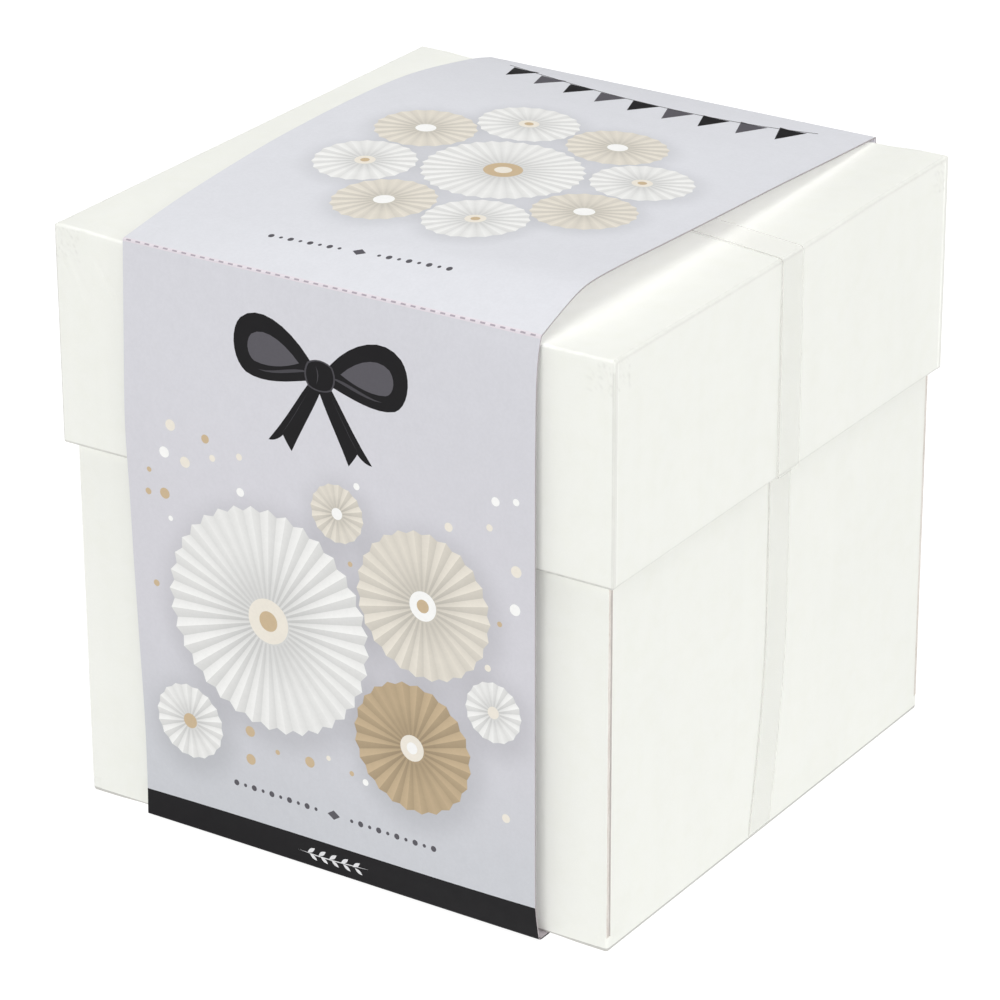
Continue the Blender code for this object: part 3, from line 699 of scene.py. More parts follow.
# the floor's wrapped corners, which close the box's corners at the foot
full, start = outer["hinge"], half_floor - STUD - 0.25
for quarter in range(4):
    qa = math.radians(90.0 * quarter)
    qc, qs = round(math.cos(qa)), round(math.sin(qa))

    def corner_to_world(x, d, h, qc=qc, qs=qs):
        return Vector(((x * qc - h * qs) * MM, (x * qs + h * qc) * MM, d * MM))

    r = 0.7
    # plan of one corner: from the front wall's foot round to the right wall's foot
    walk = [(start, -full)] + arc(full - r, -full + r, r, r, -90, 0, 8) + [(full, -start)]
    inner_pts = [(half_floor + 0.02, -start), (start, -half_floor - 0.02)]
    z0, z1 = outer["z"] - LOW, outer["z"] + outer["floor"] + 0.05
    levels = [(FOOT_EASE * (1.0 - math.sin(math.radians(a))), z0 + FOOT_EASE * (1.0 - math.cos(math.radians(a))))
              for a in (0, 18, 36, 54, 72, 90)]
    levels += [(0.0, z0 + FOOT_EASE + 0.08), (0.0, z0 + FOOT_EASE + 0.18), (0.0, z0 + 1.0), (0.0, z1 - 0.05), (0.02, z1 - 0.01), (0.06, z1)]
    rows = []
    for inset, z in levels:
        row = []
        for i, (x, y) in enumerate(walk):
            # move in along the outward normal
            if i == 0:
                nx, ny = 0.0, -1.0
            elif i == len(walk) - 1:
                nx, ny = 1.0, 0.0
            else:
                t = math.radians(-90.0 + 90.0 * (i - 1) / 8)
                nx, ny = math.cos(t), math.sin(t)
            row.append(bm.verts.new(settle(corner_to_world(x - nx * inset, z, y - ny * inset))))
            # painted shade darkens the paper under the foot's rounding
            row[-1][foot_painted_shade] = 1.3 * (1.0 - smooth(0.8 * FOOT_EASE, 1.3 * FOOT_EASE, z - z0))
        rows.append(row)
    for a, b in zip(rows, rows[1:]):
        for i in range(len(walk) - 1):
            bm.faces.new((a[i], a[i + 1], b[i + 1], b[i])).material_index = 2
    low_in = [bm.verts.new(settle(corner_to_world(x, z0, y))) for x, y in inner_pts]
    top_in = [bm.verts.new(corner_to_world(x, z1, y)) for x, y in inner_pts]
    bm.faces.new(rows[0] + low_in).material_index = 2
    bm.faces.new(rows[-1] + top_in).material_index = 2
    bm.faces.new([row[-1] for row in rows] + [top_in[0], low_in[0]]).material_index = 2
    bm.faces.new([row[0] for row in rows] + [top_in[1], low_in[1]]).material_index = 2
    bm.faces.new((low_in[0], low_in[1], top_in[1], top_in[0])).material_index = 2
build("outer_floor_board", bm, [liner_paper, board_core["z"], white_board], "box_floor", ("outer_floor",))

for name, layer in (("middle", middle), ("inner", inner_l)):
    half = layer["hinge"] - layer["card"] - GAP
    bm = bmesh.new()
    card_into(bm, rounded_rectangle(-half, half, -half, half, 0.5, 3), layer["z"], layer["z"] + layer["floor"],
              flat_to_world, ease=0.12)
    build(f"{name}_floor_card", bm, [layer_card, card_core["z"]], "box_floor", (f"{name}_floor",))

# ===================================================================== walls
CORNER_LAP, END_LAP = 1.12, 0.12        # the front and back boards lap over the side boards' ends
for side, turn in SIDES:
    depth_axis = "y" if side in ("front", "back") else "x"
    for lname, layer in LAYERS.items():
        go = to_side(layer, turn)
        half = layer["hinge"] - layer["card"] - GAP
        r, tall, card = 1.5, layer["tall"], layer["card"]
        body = f"{lname}_wall_{side}"
        bm = bmesh.new()
        if lname == "outer":
            wide = half + (CORNER_LAP if side in ("front", "back") else END_LAP)
            top = arc(wide - r, tall - r, r, r, 0, 90, 6) + arc(-wide + r, tall - r, r, r, 90, 180, 6)
            foot, inset, step = FOOT_EASE - LOW, half - STUD - 0.26, layer["floor"] + 0.07
            outline = [(-wide, step), (-inset, step), (-inset, foot), (inset, foot), (inset, step), (wide, step)] + top
            # front and back boards show their core at the ends; the side boards' wrapped ends are drawn darker, as
            # painted shade in the corner slits
            wrapped = side in ("right", "left")
            card_into(bm, outline, 0.0, card, go, ease=0.16, segments=4,
                      end_rule=lambda n, wrapped=wrapped: (4 if wrapped else 1) if abs(n.x) > 0.7 else 2,
                      crisp=lambda x, h: h < 2.6)
            # a thin lining sheet glued to the inside, 4 mm short of the edges
            m0 = 4.0
            card_into(bm, rounded_rectangle(-half + m0, half - m0, m0 + 2.0, tall - m0, 0.8, 3), card + 0.005,
                      card + 0.12, go, ease=0.0, face_slot=3, edge_slot=3)
            build(f"outer_wall_{side}_board", bm, [white_board, board_core[depth_axis], white_wrap_end, liner_paper, slit_shaded_end],
                  body, (body,))
        else:
            top = arc(half - r, tall - r, r, r, 0, 90, 6) + arc(-half + r, tall - r, r, r, 90, 180, 6)
            outline = [(-half, card), (half, card)] + top
            card_into(bm, outline, 0.0, card, go, ease=0.12)
            build(f"{lname}_wall_{side}_card", bm, [layer_card, card_core[depth_axis]], body, (body,))

        # the fold that joins floor and wall
        rad, low = (FOOT_EASE, LOW) if lname == "outer" else (card, 0.0)
        thick = 0.22 if lname == "outer" else 0.14
        wide = inset if lname == "outer" else half - 0.4
        reach = card + 0.26
        sec = [(d, h - low) for d, h in arc(rad, rad, rad, rad, 180, 270, 10)] + [(reach, -low), (reach, thick - low)]
        sec += [(d, h - low) for d, h in arc(rad, rad, rad - thick, rad - thick, 270, 180, 10)]
        bm = bmesh.new()
        grime_and_shade = bm.verts.layers.float.new("grime_and_shade")
        n = 24
        rows = []
        for i in range(n + 1):
            x = -wide + 2.0 * wide * i / n
            rows.append([bm.verts.new(go(x, d, h)) for d, h in sec])
            if lname == "outer":
                for v in rows[-1]:
                    settle(v.co)
                # painted shade darkens the paper under the fold's rounding along the foot
                for v, (d, h) in zip(rows[-1], sec):
                    v[grime_and_shade] = 1.3 * (1.0 - smooth(0.8 * FOOT_EASE, 1.3 * FOOT_EASE, h + low))
        m = len(sec)
        for a, b in zip(rows, rows[1:]):
            for i in range(m):
                j = (i + 1) % m
                bm.faces.new((a[i], a[j], b[j], b[i]))
        bm.faces.new(rows[0])
        bm.faces.new(rows[-1])
        start, end = go(0.0, rad, -low), go(0.0, 0.0, rad - low)
        build(f"{lname}_fold_{side}", bm, [white_board if lname == "outer" else layer_card], None, (),
              blend=("box_floor", body, tuple(start), tuple(end)))

# ===================================================================== wings
for side, turn in SIDES:
    go = to_side(outer, turn)
    axis = "y" if side in ("front", "back") else "x"
    for hand, word in ((-1, "left"), (1, "right")):
        edge = half_floor - 0.4
        pts = [(hand * (edge - 54.0 * math.cos(math.radians(a))), 60.0 + 53.0 * math.sin(math.radians(a)))
               for a in [-90 + 180 * i / 64 for i in range(65)]]
        if hand < 0:
            pts = pts[::-1]
        bm = bmesh.new()
        card_into(bm, pts, 1.3, 1.7, go, ease=0.1, segments=3)
        # the rolled fold that joins it to the wall
        cx, cd = hand * (edge - 0.12), 1.35
        bead = []
        for a in range(-90, 91, 18):
            bead.append((cx + hand * 0.36 * math.cos(math.radians(a)), cd + 0.34 * math.sin(math.radians(a))))
        for a in range(90, -91, -18):
            bead.append((cx + hand * 0.22 * math.cos(math.radians(a)), cd + 0.20 * math.sin(math.radians(a))))
        rows = []
        for i in range(33):
            h = 2.8 + 113.0 * i / 32
            rows.append([bm.verts.new(go(x, d, h)) for x, d in bead])
        k = len(bead)
        for a, b in zip(rows, rows[1:]):
            for i in range(k):
                j = (i + 1) % k
                bm.faces.new((a[i], a[j], b[j], b[i]))
        bm.faces.new(rows[0])
        bm.faces.new(rows[-1])
        name = f"wing_{side}_{word}"
        build(name + "_card", bm, [wing_card, card_core[axis]], f"outer_wall_{side}", (name,))


# =================================================================== pockets
def pocket(name, layer, turn, axis, half, top, body, node):
    """Pocket with folded flanges at its sides and foot, and a thumb notch."""
    go = to_side(layer, turn)
    bm = bmesh.new()
    near, far, back, b, f, notch_r = 1.6, 2.0, 0.9, 2.6, 0.6, 11.0
    notch = arc(0.0, top, notch_r, notch_r, 0, -180, 32)

    def v(x, d, h):
        return bm.verts.new((x, d, h))

    far_loop = [v(x, far, h) for x, h in [(-half, b), (half, b), (half, top)] + notch + [(-half, top)]]
    near_loop = [v(x, near, h) for x, h in [(-half + f, b + f), (half - f, b + f), (half - f, top)] + notch + [(-half + f, top)]]
    ob = [v(-half, back, b), v(half, back, b), v(half, back, top), v(-half, back, top)]
    ib = [v(-half + f, back, b + f), v(half - f, back, b + f), v(half - f, back, top), v(-half + f, back, top)]
    nn = len(notch)
    bm.faces.new(far_loop)
    bm.faces.new(near_loop)
    for i in range(nn - 1):
        bm.faces.new((far_loop[3 + i], far_loop[4 + i], near_loop[4 + i], near_loop[3 + i])).material_index = 1
    bm.faces.new((far_loop[0], far_loop[1], ob[1], ob[0]))
    bm.faces.new((far_loop[1], far_loop[2], ob[2], ob[1]))
    bm.faces.new((far_loop[-1], far_loop[0], ob[0], ob[3]))
    bm.faces.new((near_loop[0], near_loop[1], ib[1], ib[0]))
    bm.faces.new((near_loop[1], near_loop[2], ib[2], ib[1]))
    bm.faces.new((near_loop[-1], near_loop[0], ib[0], ib[3]))
    for a, c in ((0, 1), (1, 2), (3, 0)):
        bm.faces.new((ob[a], ob[c], ib[c], ib[a]))
    bm.faces.new((far_loop[2], far_loop[3], near_loop[3], near_loop[2], ib[2], ob[2])).material_index = 1
    bm.faces.new((far_loop[-1], far_loop[2 + nn], near_loop[2 + nn], near_loop[-1], ib[3], ob[3])).material_index = 1
    bmesh.ops.recalc_face_normals(bm, faces=bm.faces[:])

    def between(p, q):
        return bm.edges.get((p, q))

    # folded edges get a paper's bend, cut edges only a slight easing
    folds = [between(far_loop[0], far_loop[1]), between(far_loop[1], far_loop[2]), between(far_loop[-1], far_loop[0]),
             between(far_loop[0], ob[0]), between(far_loop[1], ob[1])]
    bmesh.ops.bevel(bm, geom=[e for e in folds if e], offset=0.45, offset_type="OFFSET", segments=5, profile=0.5,
                    affect="EDGES", clamp_overlap=True)
    for face in bm.faces:
        face.tag = abs(face.normal.y) > 0.999 and face.calc_area() > 50.0
    for e in bm.edges:
        if len(e.link_faces) == 2 and e.link_faces[0].tag != e.link_faces[1].tag:
            e.smooth = False
    for vert in bm.verts:
        vert.co = go(*vert.co)
    build(name, bm, [layer_card, card_core[axis]], body, (node,), sharp=32.0)


# =================================================================== inserts
INSERTS = {
    "outer": dict(half=47.0, low=3.0, high=98.0, near=2.0, far=2.4),
    "middle": dict(half=44.0, low=3.4, high=88.0, near=0.9, far=1.3),
    "inner": dict(half=41.0, low=3.4, high=84.0, near=0.9, far=1.3),
}
for side, turn in SIDES:
    axis = "y" if side in ("front", "back") else "x"
    pocket(f"middle_pocket_{side}_card", middle, turn, axis, 50.0, 66.0, f"middle_wall_{side}", f"middle_pocket_{side}")
    pocket(f"inner_pocket_{side}_card", inner_l, turn, axis, 47.0, 58.0, f"inner_wall_{side}", f"inner_pocket_{side}")
    for lname, spec in INSERTS.items():
        x, lo, hi = spec["half"], spec["low"], spec["high"]
        if lname == "outer":
            pts = rounded_rectangle(-x, x, lo, hi, 5.0, 8)
        elif lname == "middle":
            pts = [(-x, lo), (x, lo)] + arc(x - 3, hi - 3, 3, 3, 0, 90, 6) + arc(0.0, hi, 12, 9, 0, 180, 20)
            pts += arc(-x + 3, hi - 3, 3, 3, 90, 180, 6)
        else:
            c = 11.0
            pts = [(-x, lo), (x, lo), (x, hi - c), (x - c, hi), (-x + c, hi), (-x, hi - c)]
        bm = bmesh.new()
        card_into(bm, pts, spec["near"], spec["far"], to_side(LAYERS[lname], turn), ease=0.08, segments=2)
        node = f"insert_{lname}_{side}"
        build(node + "_card", bm, [insert_tints[lname], card_core[axis]], node, (node,))

# ============================================================= sleeve's shape
LEFT_RISE = ((-62.8, 0.4), (-48.0, 2.5), (-28.5, 4.3), (-9.7, 5.4), (17.7, 5.7), (34.7, 4.8), (55.6, 1.7), (62.8, 0.0))
RIGHT_RISE = ((-62.8, 1.0), (-54.7, 4.0), (-48.4, 5.7), (-40.0, 5.9), (-17.7, 4.9), (19.7, 3.0), (46.0, 1.2), (62.8, 0.0))
LEFT_BULGE = ((0.3, 0.0), (4.0, -0.5), (20.0, -0.6), (37.0, 0.05), (55.0, 0.75), (70.0, 1.2), (84.0, 1.7), (94.0, 1.35), (108.0, 0.65), (120.2, 0.0))
RIGHT_BULGE = ((0.3, 0.0), (3.0, 1.0), (7.0, 1.7), (14.0, 1.85), (94.0, 1.85), (105.0, 1.7), (113.0, 1.4), (118.5, 0.6), (120.2, 0.0))


def along(table, p):
    """Smooth curve through the table's points (cubic Hermite)."""
    if p <= table[0][0]:
        return table[0][1]
    if p >= table[-1][0]:
        return table[-1][1]
    n = len(table)
    for i in range(n - 1):
        (a, fa), (b, fb) = table[i], table[i + 1]
        if a <= p <= b:
            sa = (table[i + 1][1] - table[i - 1][1]) / (table[i + 1][0] - table[i - 1][0]) if i else (fb - fa) / (b - a)
            sb = (table[i + 2][1] - fa) / (table[i + 2][0] - a) if i + 2 < n else (fb - fa) / (b - a)
            t, w = (p - a) / (b - a), b - a
            return ((2 * t**3 - 3 * t**2 + 1) * fa + (t**3 - 2 * t**2 + t) * w * sa
                    + (-2 * t**3 + 3 * t**2) * fb + (t**3 - t**2) * w * sb)
    return 0.0


def across(x):
    t = min(1.0, max(0.0, (x - SLEEVE_LEFT) / (SLEEVE_RIGHT - SLEEVE_LEFT)))
    return t * t * (3.0 - 2.0 * t)


def rise(x, y):
    t = across(x)
    return (1.0 - t) * along(LEFT_RISE, y) + t * along(RIGHT_RISE, y)


def bulge(x, z):
    t = across(x)
    return (1.0 - t) * along(LEFT_BULGE, z) + t * along(RIGHT_BULGE, z)


FACE_OUT = SLEEVE_FACE + PAPER          # outside of the front panel at its folds
TOP_OUT = SLEEVE_TOP + PAPER            # outside of the top panel at its folds
FOLD = 0.45                             # how far each fold's rounding reaches from its corner
HALF_FOLD = 0.40                        # unrolled length of half a fold: the panels part at its middle
WALL_TOP = 120.35                       # unrolled height at which the front and back panels reach the top folds


def mirrored(x, sign):
    """The back panel's slack runs the other way across, as after a half turn."""
    return x if sign < 0 else SLEEVE_LEFT + SLEEVE_RIGHT - x


def top_fold(x, sign, t):
    """Point and outward normal (y, z) on the fold between the top panel (t = 0) and a wall panel (t = 1)."""
    y0 = sign * (FACE_OUT - FOLD)
    z0 = TOP_OUT + rise(x, sign * FACE_OUT)
    p0 = (y0, TOP_OUT + rise(x, y0))
    p1 = (sign * FACE_OUT, z0)
    p2 = (sign * (FACE_OUT + bulge(mirrored(x, sign), WALL_TOP)), z0 - FOLD)
    a, b, c = (1 - t) ** 2, 2 * t * (1 - t), t * t
    y, z = a * p0[0] + b * p1[0] + c * p2[0], a * p0[1] + b * p1[1] + c * p2[1]
    ty = 2 * (1 - t) * (p1[0] - p0[0]) + 2 * t * (p2[0] - p1[0])
    tz = 2 * (1 - t) * (p1[1] - p0[1]) + 2 * t * (p2[1] - p1[1])
    ny, nz = -tz * sign, ty * sign
    k = math.hypot(ny, nz)
    return y, z, ny / k, nz / k


def top_point(x, s, inside):
    """A point of the top panel: s runs from front (-) to back (+), half way round the folds at both ends."""
    lim = FACE_OUT - FOLD
    if abs(s) <= lim:
        e = 0.05
        slope = (rise(x, s + e) - rise(x, s - e)) / (2 * e)
        y, z, ny, nz = s, TOP_OUT + rise(x, s), -slope, 1.0
        k = math.hypot(ny, nz)
        ny, nz = ny / k, nz / k
    else:
        y, z, ny, nz = top_fold(x, 1.0 if s > 0 else -1.0, 0.5 * min(1.0, (abs(s) - lim) / HALF_FOLD))
    across_to = x + drift(x, min(s, FACE_OUT))
    return Vector((across_to * MM, (y - ny * PAPER * inside) * MM, (z - nz * PAPER * inside) * MM))


FOOT_R = 0.4


def foot_r(x):
    """Radius of the bottom fold, tighter where the paper is pulled tight."""
    return FOOT_R + 0.6 * across(x)


def foot_out(x):
    """How far out the bottom fold stands."""
    return 62.45 + 0.95 * across(x)


def strip_top(x):
    """Height of the dark strip's upper edge, where the front panel starts to lean in to its bottom fold."""
    return 5.6 + 1.95 * (x - SLEEVE_LEFT) / (SLEEVE_RIGHT - SLEEVE_LEFT)


def skew(x, share):
    """The sleeve's left edge drifts in a little towards its foot at the front."""
    return 0.5 * share * (1.0 - across(x))


def drift(x, s):
    """The sleeve's right edge drifts in a little towards the back: s runs from front (-) to back (+)."""
    t = max(0.0, (s + 25.0) / (FACE_OUT + 25.0))
    return -1.9 * across(x) * t * t


def wall_out(x, s):
    """How far out a wall panel's outside stands at unrolled height s."""
    top = strip_top(x)
    if s >= top:
        return FACE_OUT + bulge(x, s)
    u = max(0.0, (s - foot_r(x)) / (top - foot_r(x)))
    high, low = FACE_OUT + bulge(x, top), foot_out(x)
    return low + (high - low) * u * (1.3 - 0.3 * u)


def wall_point(sign):
    def at(x, s, inside):
        xx = mirrored(x, sign)
        if s > WALL_TOP:
            y, z, ny, nz = top_fold(x, sign, 1.0 - 0.5 * min(1.0, (s - WALL_TOP) / HALF_FOLD))
            across_to = x + (drift(x, FACE_OUT) if sign > 0 else 0.0)
            return Vector((across_to * MM, (y - ny * PAPER * inside) * MM, (z - nz * PAPER * inside) * MM))
        lift, foot = rise(x, sign * FACE_OUT), foot_r(xx)
        if s < strip_top(xx):
            s = foot + (s - FOOT_R) * (strip_top(xx) - foot) / (strip_top(xx) - FOOT_R)
        out, z = wall_out(xx, s), s * (1.0 + lift / WALL_TOP)
        e = 0.05
        to, tz = wall_out(xx, s + e) - wall_out(xx, s - e), 2 * e
        k = PAPER * inside / math.hypot(to, tz)
        out, z = out - tz * k, z + to * k
        shift = skew(x, 1.0 - s / WALL_TOP) if sign < 0 else drift(x, FACE_OUT) * s / WALL_TOP
        return Vector(((x + shift) * MM, sign * out * MM, z * MM))

    return at


# ============================================================ sleeve's artwork
INK_DARK = lin(29, 28, 30)
fold_ink = card_material("sleeve_fold_ink", INK_DARK, rough=0.55, specular=0.1, cloud=0.03, fibre=0.01, warp=0.05)
INK_SLATE = lin(92, 90, 96)
INK_GREY = lin(150, 149, 155)
INK_WHITE = lin(247, 247, 245)
INK_CREAM = lin(236, 230, 218)
INK_KRAFT = lin(203, 181, 148)
INK_MAUVE = lin(172, 163, 172)
INK_PALE = lin(225, 218, 224)


class Shape:
    """A printed region: an outline in mm and its ink, one colour or a function of the place."""

    def __init__(self, pts, ink):
        self.pts = np.array(pts, float)
        self.ink = ink


def disc(cx, cy, r, ink, steps=28):
    return Shape([(cx + r * math.cos(2 * math.pi * i / steps), cy + r * math.sin(2 * math.pi * i / steps))
                  for i in range(steps)], ink)


def rosette(cx, cy, radius, count, paper, hub_ink, turn=0.0, hub=0.20, deep=0.20, button=None):
    """A round of pleated paper, lit from the upper left."""
    shapes = []
    r0, lx, ly = radius * hub * 0.8, -0.45, 0.89
    for k in range(count):
        a0 = turn + 2 * math.pi * k / count
        am, a1 = a0 + math.pi / count, a0 + 2 * math.pi / count
        for p, q, facing in ((a0, am, 1.0), (am, a1, -1.0)):
            mid = 0.5 * (p + q)
            rp = radius * (0.955 if facing > 0 else 1.0)
            rq = radius * (1.0 if facing > 0 else 0.955)
            lit = facing * (math.sin(mid) * lx - math.cos(mid) * ly)
            tone = 1.0 - deep * (0.5 - 0.5 * lit)

            def ink(x, y, tone=tone, p=p, q=q, facing=facing):
                r = math.hypot(x - cx, y - cy) / radius
                a = math.atan2(y - cy, x - cx)
                t = ((a - p + math.pi) % (2 * math.pi) - math.pi) / (q - p)
                ridge = t if facing > 0 else 1.0 - t
                k2 = tone * (0.90 + 0.10 * min(1.0, max(0.0, ridge))) * (0.80 + 0.20 * smooth(0.1, 0.75, r))
                return times(paper, k2)

            shapes.append(Shape([(cx + r0 * math.cos(p), cy + r0 * math.sin(p)), (cx + rp * math.cos(p), cy + rp * math.sin(p)),
                                 (cx + rq * math.cos(q), cy + rq * math.sin(q)), (cx + r0 * math.cos(q), cy + r0 * math.sin(q))], ink))
    shapes.append(disc(cx + 0.25, cy - 0.3, radius * hub, times(paper, 0.72)))
    shapes.append(disc(cx, cy, radius * hub, hub_ink))
    if button:
        shapes.append(disc(cx, cy, radius * hub * 0.45, button))
    return shapes


def cubic(points, steps=10):
    """A closed outline of cubic pieces: start, then (control, control, end) again and again."""
    out = []
    p0 = points[0]
    for i in range(1, len(points), 3):
        c1, c2, p1 = points[i:i + 3]
        for k in range(steps):
            t = k / steps
            a, b, c, d = (1 - t) ** 3, 3 * t * (1 - t) ** 2, 3 * t * t * (1 - t), t ** 3
            out.append((a * p0[0] + b * c1[0] + c * c2[0] + d * p1[0], a * p0[1] + b * c1[1] + c * c2[1] + d * p1[1]))
        p0 = p1
    return out


def ribbon_bow(cx, cy, w, h, ink, inside, gleam):
    """A plain ribbon bow: two loops, two tails and a knot."""
    def put(points, sx=1.0, tilt=0.0):
        return [(cx + (sx * x) * w, cy + (y + tilt * x) * h) for x, y in points]

    shapes = []
    tail = cubic([(-0.06, -0.02), (-0.22, -0.25), (-0.34, -0.58), (-0.60, -0.98), (-0.55, -0.99), (-0.48, -0.95), (-0.43, -0.88),
                  (-0.40, -0.95), (-0.36, -1.02), (-0.33, -1.07), (-0.18, -0.66), (-0.02, -0.35), (0.06, -0.04),
                  (0.02, -0.03), (-0.02, -0.02), (-0.06, -0.02)], 6)
    fold = cubic([(-0.10, -0.16), (-0.22, -0.42), (-0.32, -0.66), (-0.44, -0.86), (-0.34, -0.68), (-0.22, -0.42), (-0.10, -0.16)], 7)
    loop = cubic([(-0.05, 0.06), (-0.28, 0.50), (-0.70, 0.80), (-0.93, 0.52), (-1.06, 0.34), (-1.02, -0.06), (-0.86, -0.17),
                  (-0.62, -0.30), (-0.24, -0.12), (-0.05, -0.07), (-0.04, -0.02), (-0.04, 0.02), (-0.05, 0.06)], 9)
    hole = cubic([(-0.24, 0.10), (-0.42, 0.34), (-0.66, 0.48), (-0.80, 0.34), (-0.88, 0.22), (-0.84, 0.04), (-0.76, 0.00),
                  (-0.58, -0.06), (-0.38, 0.02), (-0.24, 0.10)], 7)
    line = cubic([(-0.12, 0.02), (-0.30, 0.06), (-0.50, -0.10), (-0.72, -0.10), (-0.52, -0.14), (-0.30, -0.02), (-0.12, 0.02)], 7)
    for sx, tilt in ((1.0, 0.03), (-1.0, 0.05)):
        shapes.append(Shape(put(tail, sx, tilt), ink))
        shapes.append(Shape(put(fold, sx, tilt), gleam))
    for sx, tilt in ((1.0, 0.02), (-1.0, 0.06)):
        shapes.append(Shape(put(loop, sx, tilt), ink))
        shapes.append(Shape(put(hole, sx, tilt), inside))
        shapes.append(Shape(put(line, sx, tilt), gleam))
    knot = cubic([(-0.13, 0.13), (-0.06, 0.20), (0.06, 0.20), (0.13, 0.13), (0.17, 0.04), (0.17, -0.06), (0.12, -0.15),
                  (0.05, -0.20), (-0.05, -0.20), (-0.12, -0.15), (-0.17, -0.06), (-0.17, 0.04), (-0.13, 0.13)], 6)
    shapes.append(Shape(put([(x * 1.12, y * 1.10) for x, y in knot]), gleam))
    shapes.append(Shape(put(knot), ink))
    mark = cubic([(-0.05, 0.12), (-0.02, 0.04), (-0.02, -0.04), (-0.04, -0.12), (-0.005, -0.04), (-0.005, 0.04), (-0.05, 0.12)], 4)
    shapes.append(Shape(put(mark), gleam))
    return shapes


def leaf(cx, cy, long, wide, angle, ink):
    pts = []
    for i in range(14):
        t = i / 14.0
        if t < 0.5:
            u, v = t * 2.0, math.sin(t * 2.0 * math.pi) * wide
        else:
            u, v = 2.0 - t * 2.0, -math.sin((2.0 - t * 2.0) * math.pi) * wide
        pts.append((u * long, v))
    c, s = math.cos(angle), math.sin(angle)
    return Shape([(cx + x * c - y * s, cy + x * s + y * c) for x, y in pts], ink)


def dotted_rule(cx, cy, count, gap, r, ink):
    shapes = []
    for i in range(count):
        k = i - (count - 1) / 2.0
        if abs(k) < 0.6:
            shapes.append(Shape([(cx - 1.5, cy), (cx, cy - 1.0), (cx + 1.5, cy), (cx, cy + 1.0)], ink))
        elif abs(k) < 1.6:
            continue
        else:
            rr = r * (1.0 if int(abs(k)) % 2 else 0.62)
            shapes.append(disc(cx + k * gap, cy, rr, ink, 14))
    return shapes


def shadows(list_of, x, y, deep, reach, dx=0.9, dy=-1.3):
    """Soft printed shadow under round things on the ground."""
    k = 1.0
    for cx, cy, r in list_of:
        d = math.hypot(x - cx - dx, y - cy - dy) - r
        k *= 1.0 - deep * (1.0 - smooth(-reach * 0.35, reach, d))
    return k


FRONT_ROUNDS = [(-13.5, 50.5, 23.5), (22.5, 63.0, 15.0), (19.5, 33.0, 13.5), (-34.0, 23.5, 8.0), (38.0, 45.5, 6.2), (3.5, 77.0, 6.0)]
TOP_CENTRE = (1.0, -4.0)
TOP_ROUNDS = [(TOP_CENTRE[0], TOP_CENTRE[1], 16.0)] + [
    (TOP_CENTRE[0] + 27.0 * math.cos(math.radians(a)), TOP_CENTRE[1] + 27.0 * math.sin(math.radians(a)), 10.3)
    for a in range(22, 382, 45)]

FRONT_TOP, FRONT_MID, FRONT_LOW = lin(214, 214, 220), lin(212, 211, 217), lin(203, 205, 210)
PANEL_TOP = lin(222, 223, 228)


def front_ground(x, z):
    c = blend3(FRONT_LOW, FRONT_MID, smooth(4.0, 52.0, z))
    c = blend3(c, FRONT_TOP, smooth(60.0, 118.0, z))
    c = times(c, 1.0 + 0.012 * math.sin(x * 0.05 + z * 0.03))
    return times(c, shadows(FRONT_ROUNDS, x, z, 0.16, 5.5))


def top_ground(x, y):
    c = times(PANEL_TOP, 1.0 + 0.010 * math.sin(x * 0.06 - y * 0.035))
    return times(c, shadows(TOP_ROUNDS, x, y, 0.13, 4.5, 0.6, -1.0))


rng = random.Random(7)


def confetti(rounds, box, count, keep_off, inks):
    shapes, placed = [], []
    tries = 0
    while len(placed) < count and tries < 4000:
        tries += 1
        x, y = rng.uniform(box[0], box[1]), rng.uniform(box[2], box[3])
        r = rng.choice((0.55, 0.7, 0.9, 1.15))
        if any(math.hypot(x - cx, y - cy) < cr + r + 1.0 for cx, cy, cr in rounds):
            continue
        if any(math.hypot(x - px, y - py) < 3.2 for px, py in placed):
            continue
        if any(x0 < x < x1 and y0 < y < y1 for x0, x1, y0, y1 in keep_off):
            continue
        placed.append((x, y))
        shapes.append(disc(x, y, r, rng.choice(inks), 14))
    return shapes


front_art = []
front_art += confetti(FRONT_ROUNDS, (-42.0, 44.0, 19.0, 90.0), 30, [(-24.0, 26.0, 84.0, 120.0)],
                      (INK_WHITE, INK_WHITE, INK_CREAM, INK_CREAM, INK_KRAFT))
front_art += rosette(*FRONT_ROUNDS[5], 16, INK_CREAM, INK_WHITE, 0.1)
front_art += rosette(*FRONT_ROUNDS[3], 18, INK_WHITE, INK_KRAFT, 0.05)
front_art += rosette(*FRONT_ROUNDS[4], 16, INK_WHITE, INK_CREAM, 0.2)
front_art += rosette(*FRONT_ROUNDS[1], 26, INK_CREAM, INK_WHITE, 0.12, button=INK_KRAFT)
front_art += rosette(*FRONT_ROUNDS[2], 24, INK_KRAFT, INK_CREAM, 0.02, deep=0.26, button=INK_WHITE)
front_art += rosette(*FRONT_ROUNDS[0], 36, INK_WHITE, INK_CREAM, 0.04, button=INK_KRAFT)
front_art += ribbon_bow(0.0, 103.5, 19.5, 15.0, INK_DARK, INK_SLATE, times(INK_SLATE, 0.62))
front_art += dotted_rule(0.5, 13.2, 23, 2.15, 0.62, INK_SLATE)
front_art.append(Shape([(SLEEVE_LEFT, FOOT_R), (SLEEVE_RIGHT, FOOT_R), (SLEEVE_RIGHT, strip_top(SLEEVE_RIGHT)),
                        (SLEEVE_LEFT, strip_top(SLEEVE_LEFT))], INK_DARK))
front_art.append(Shape([(-8.5, 3.0), (-4.0, 2.72), (0.0, 2.78), (4.5, 3.1), (8.5, 3.5), (4.5, 3.32), (0.0, 3.0), (-4.0, 2.94)], lin(226, 226, 228)))
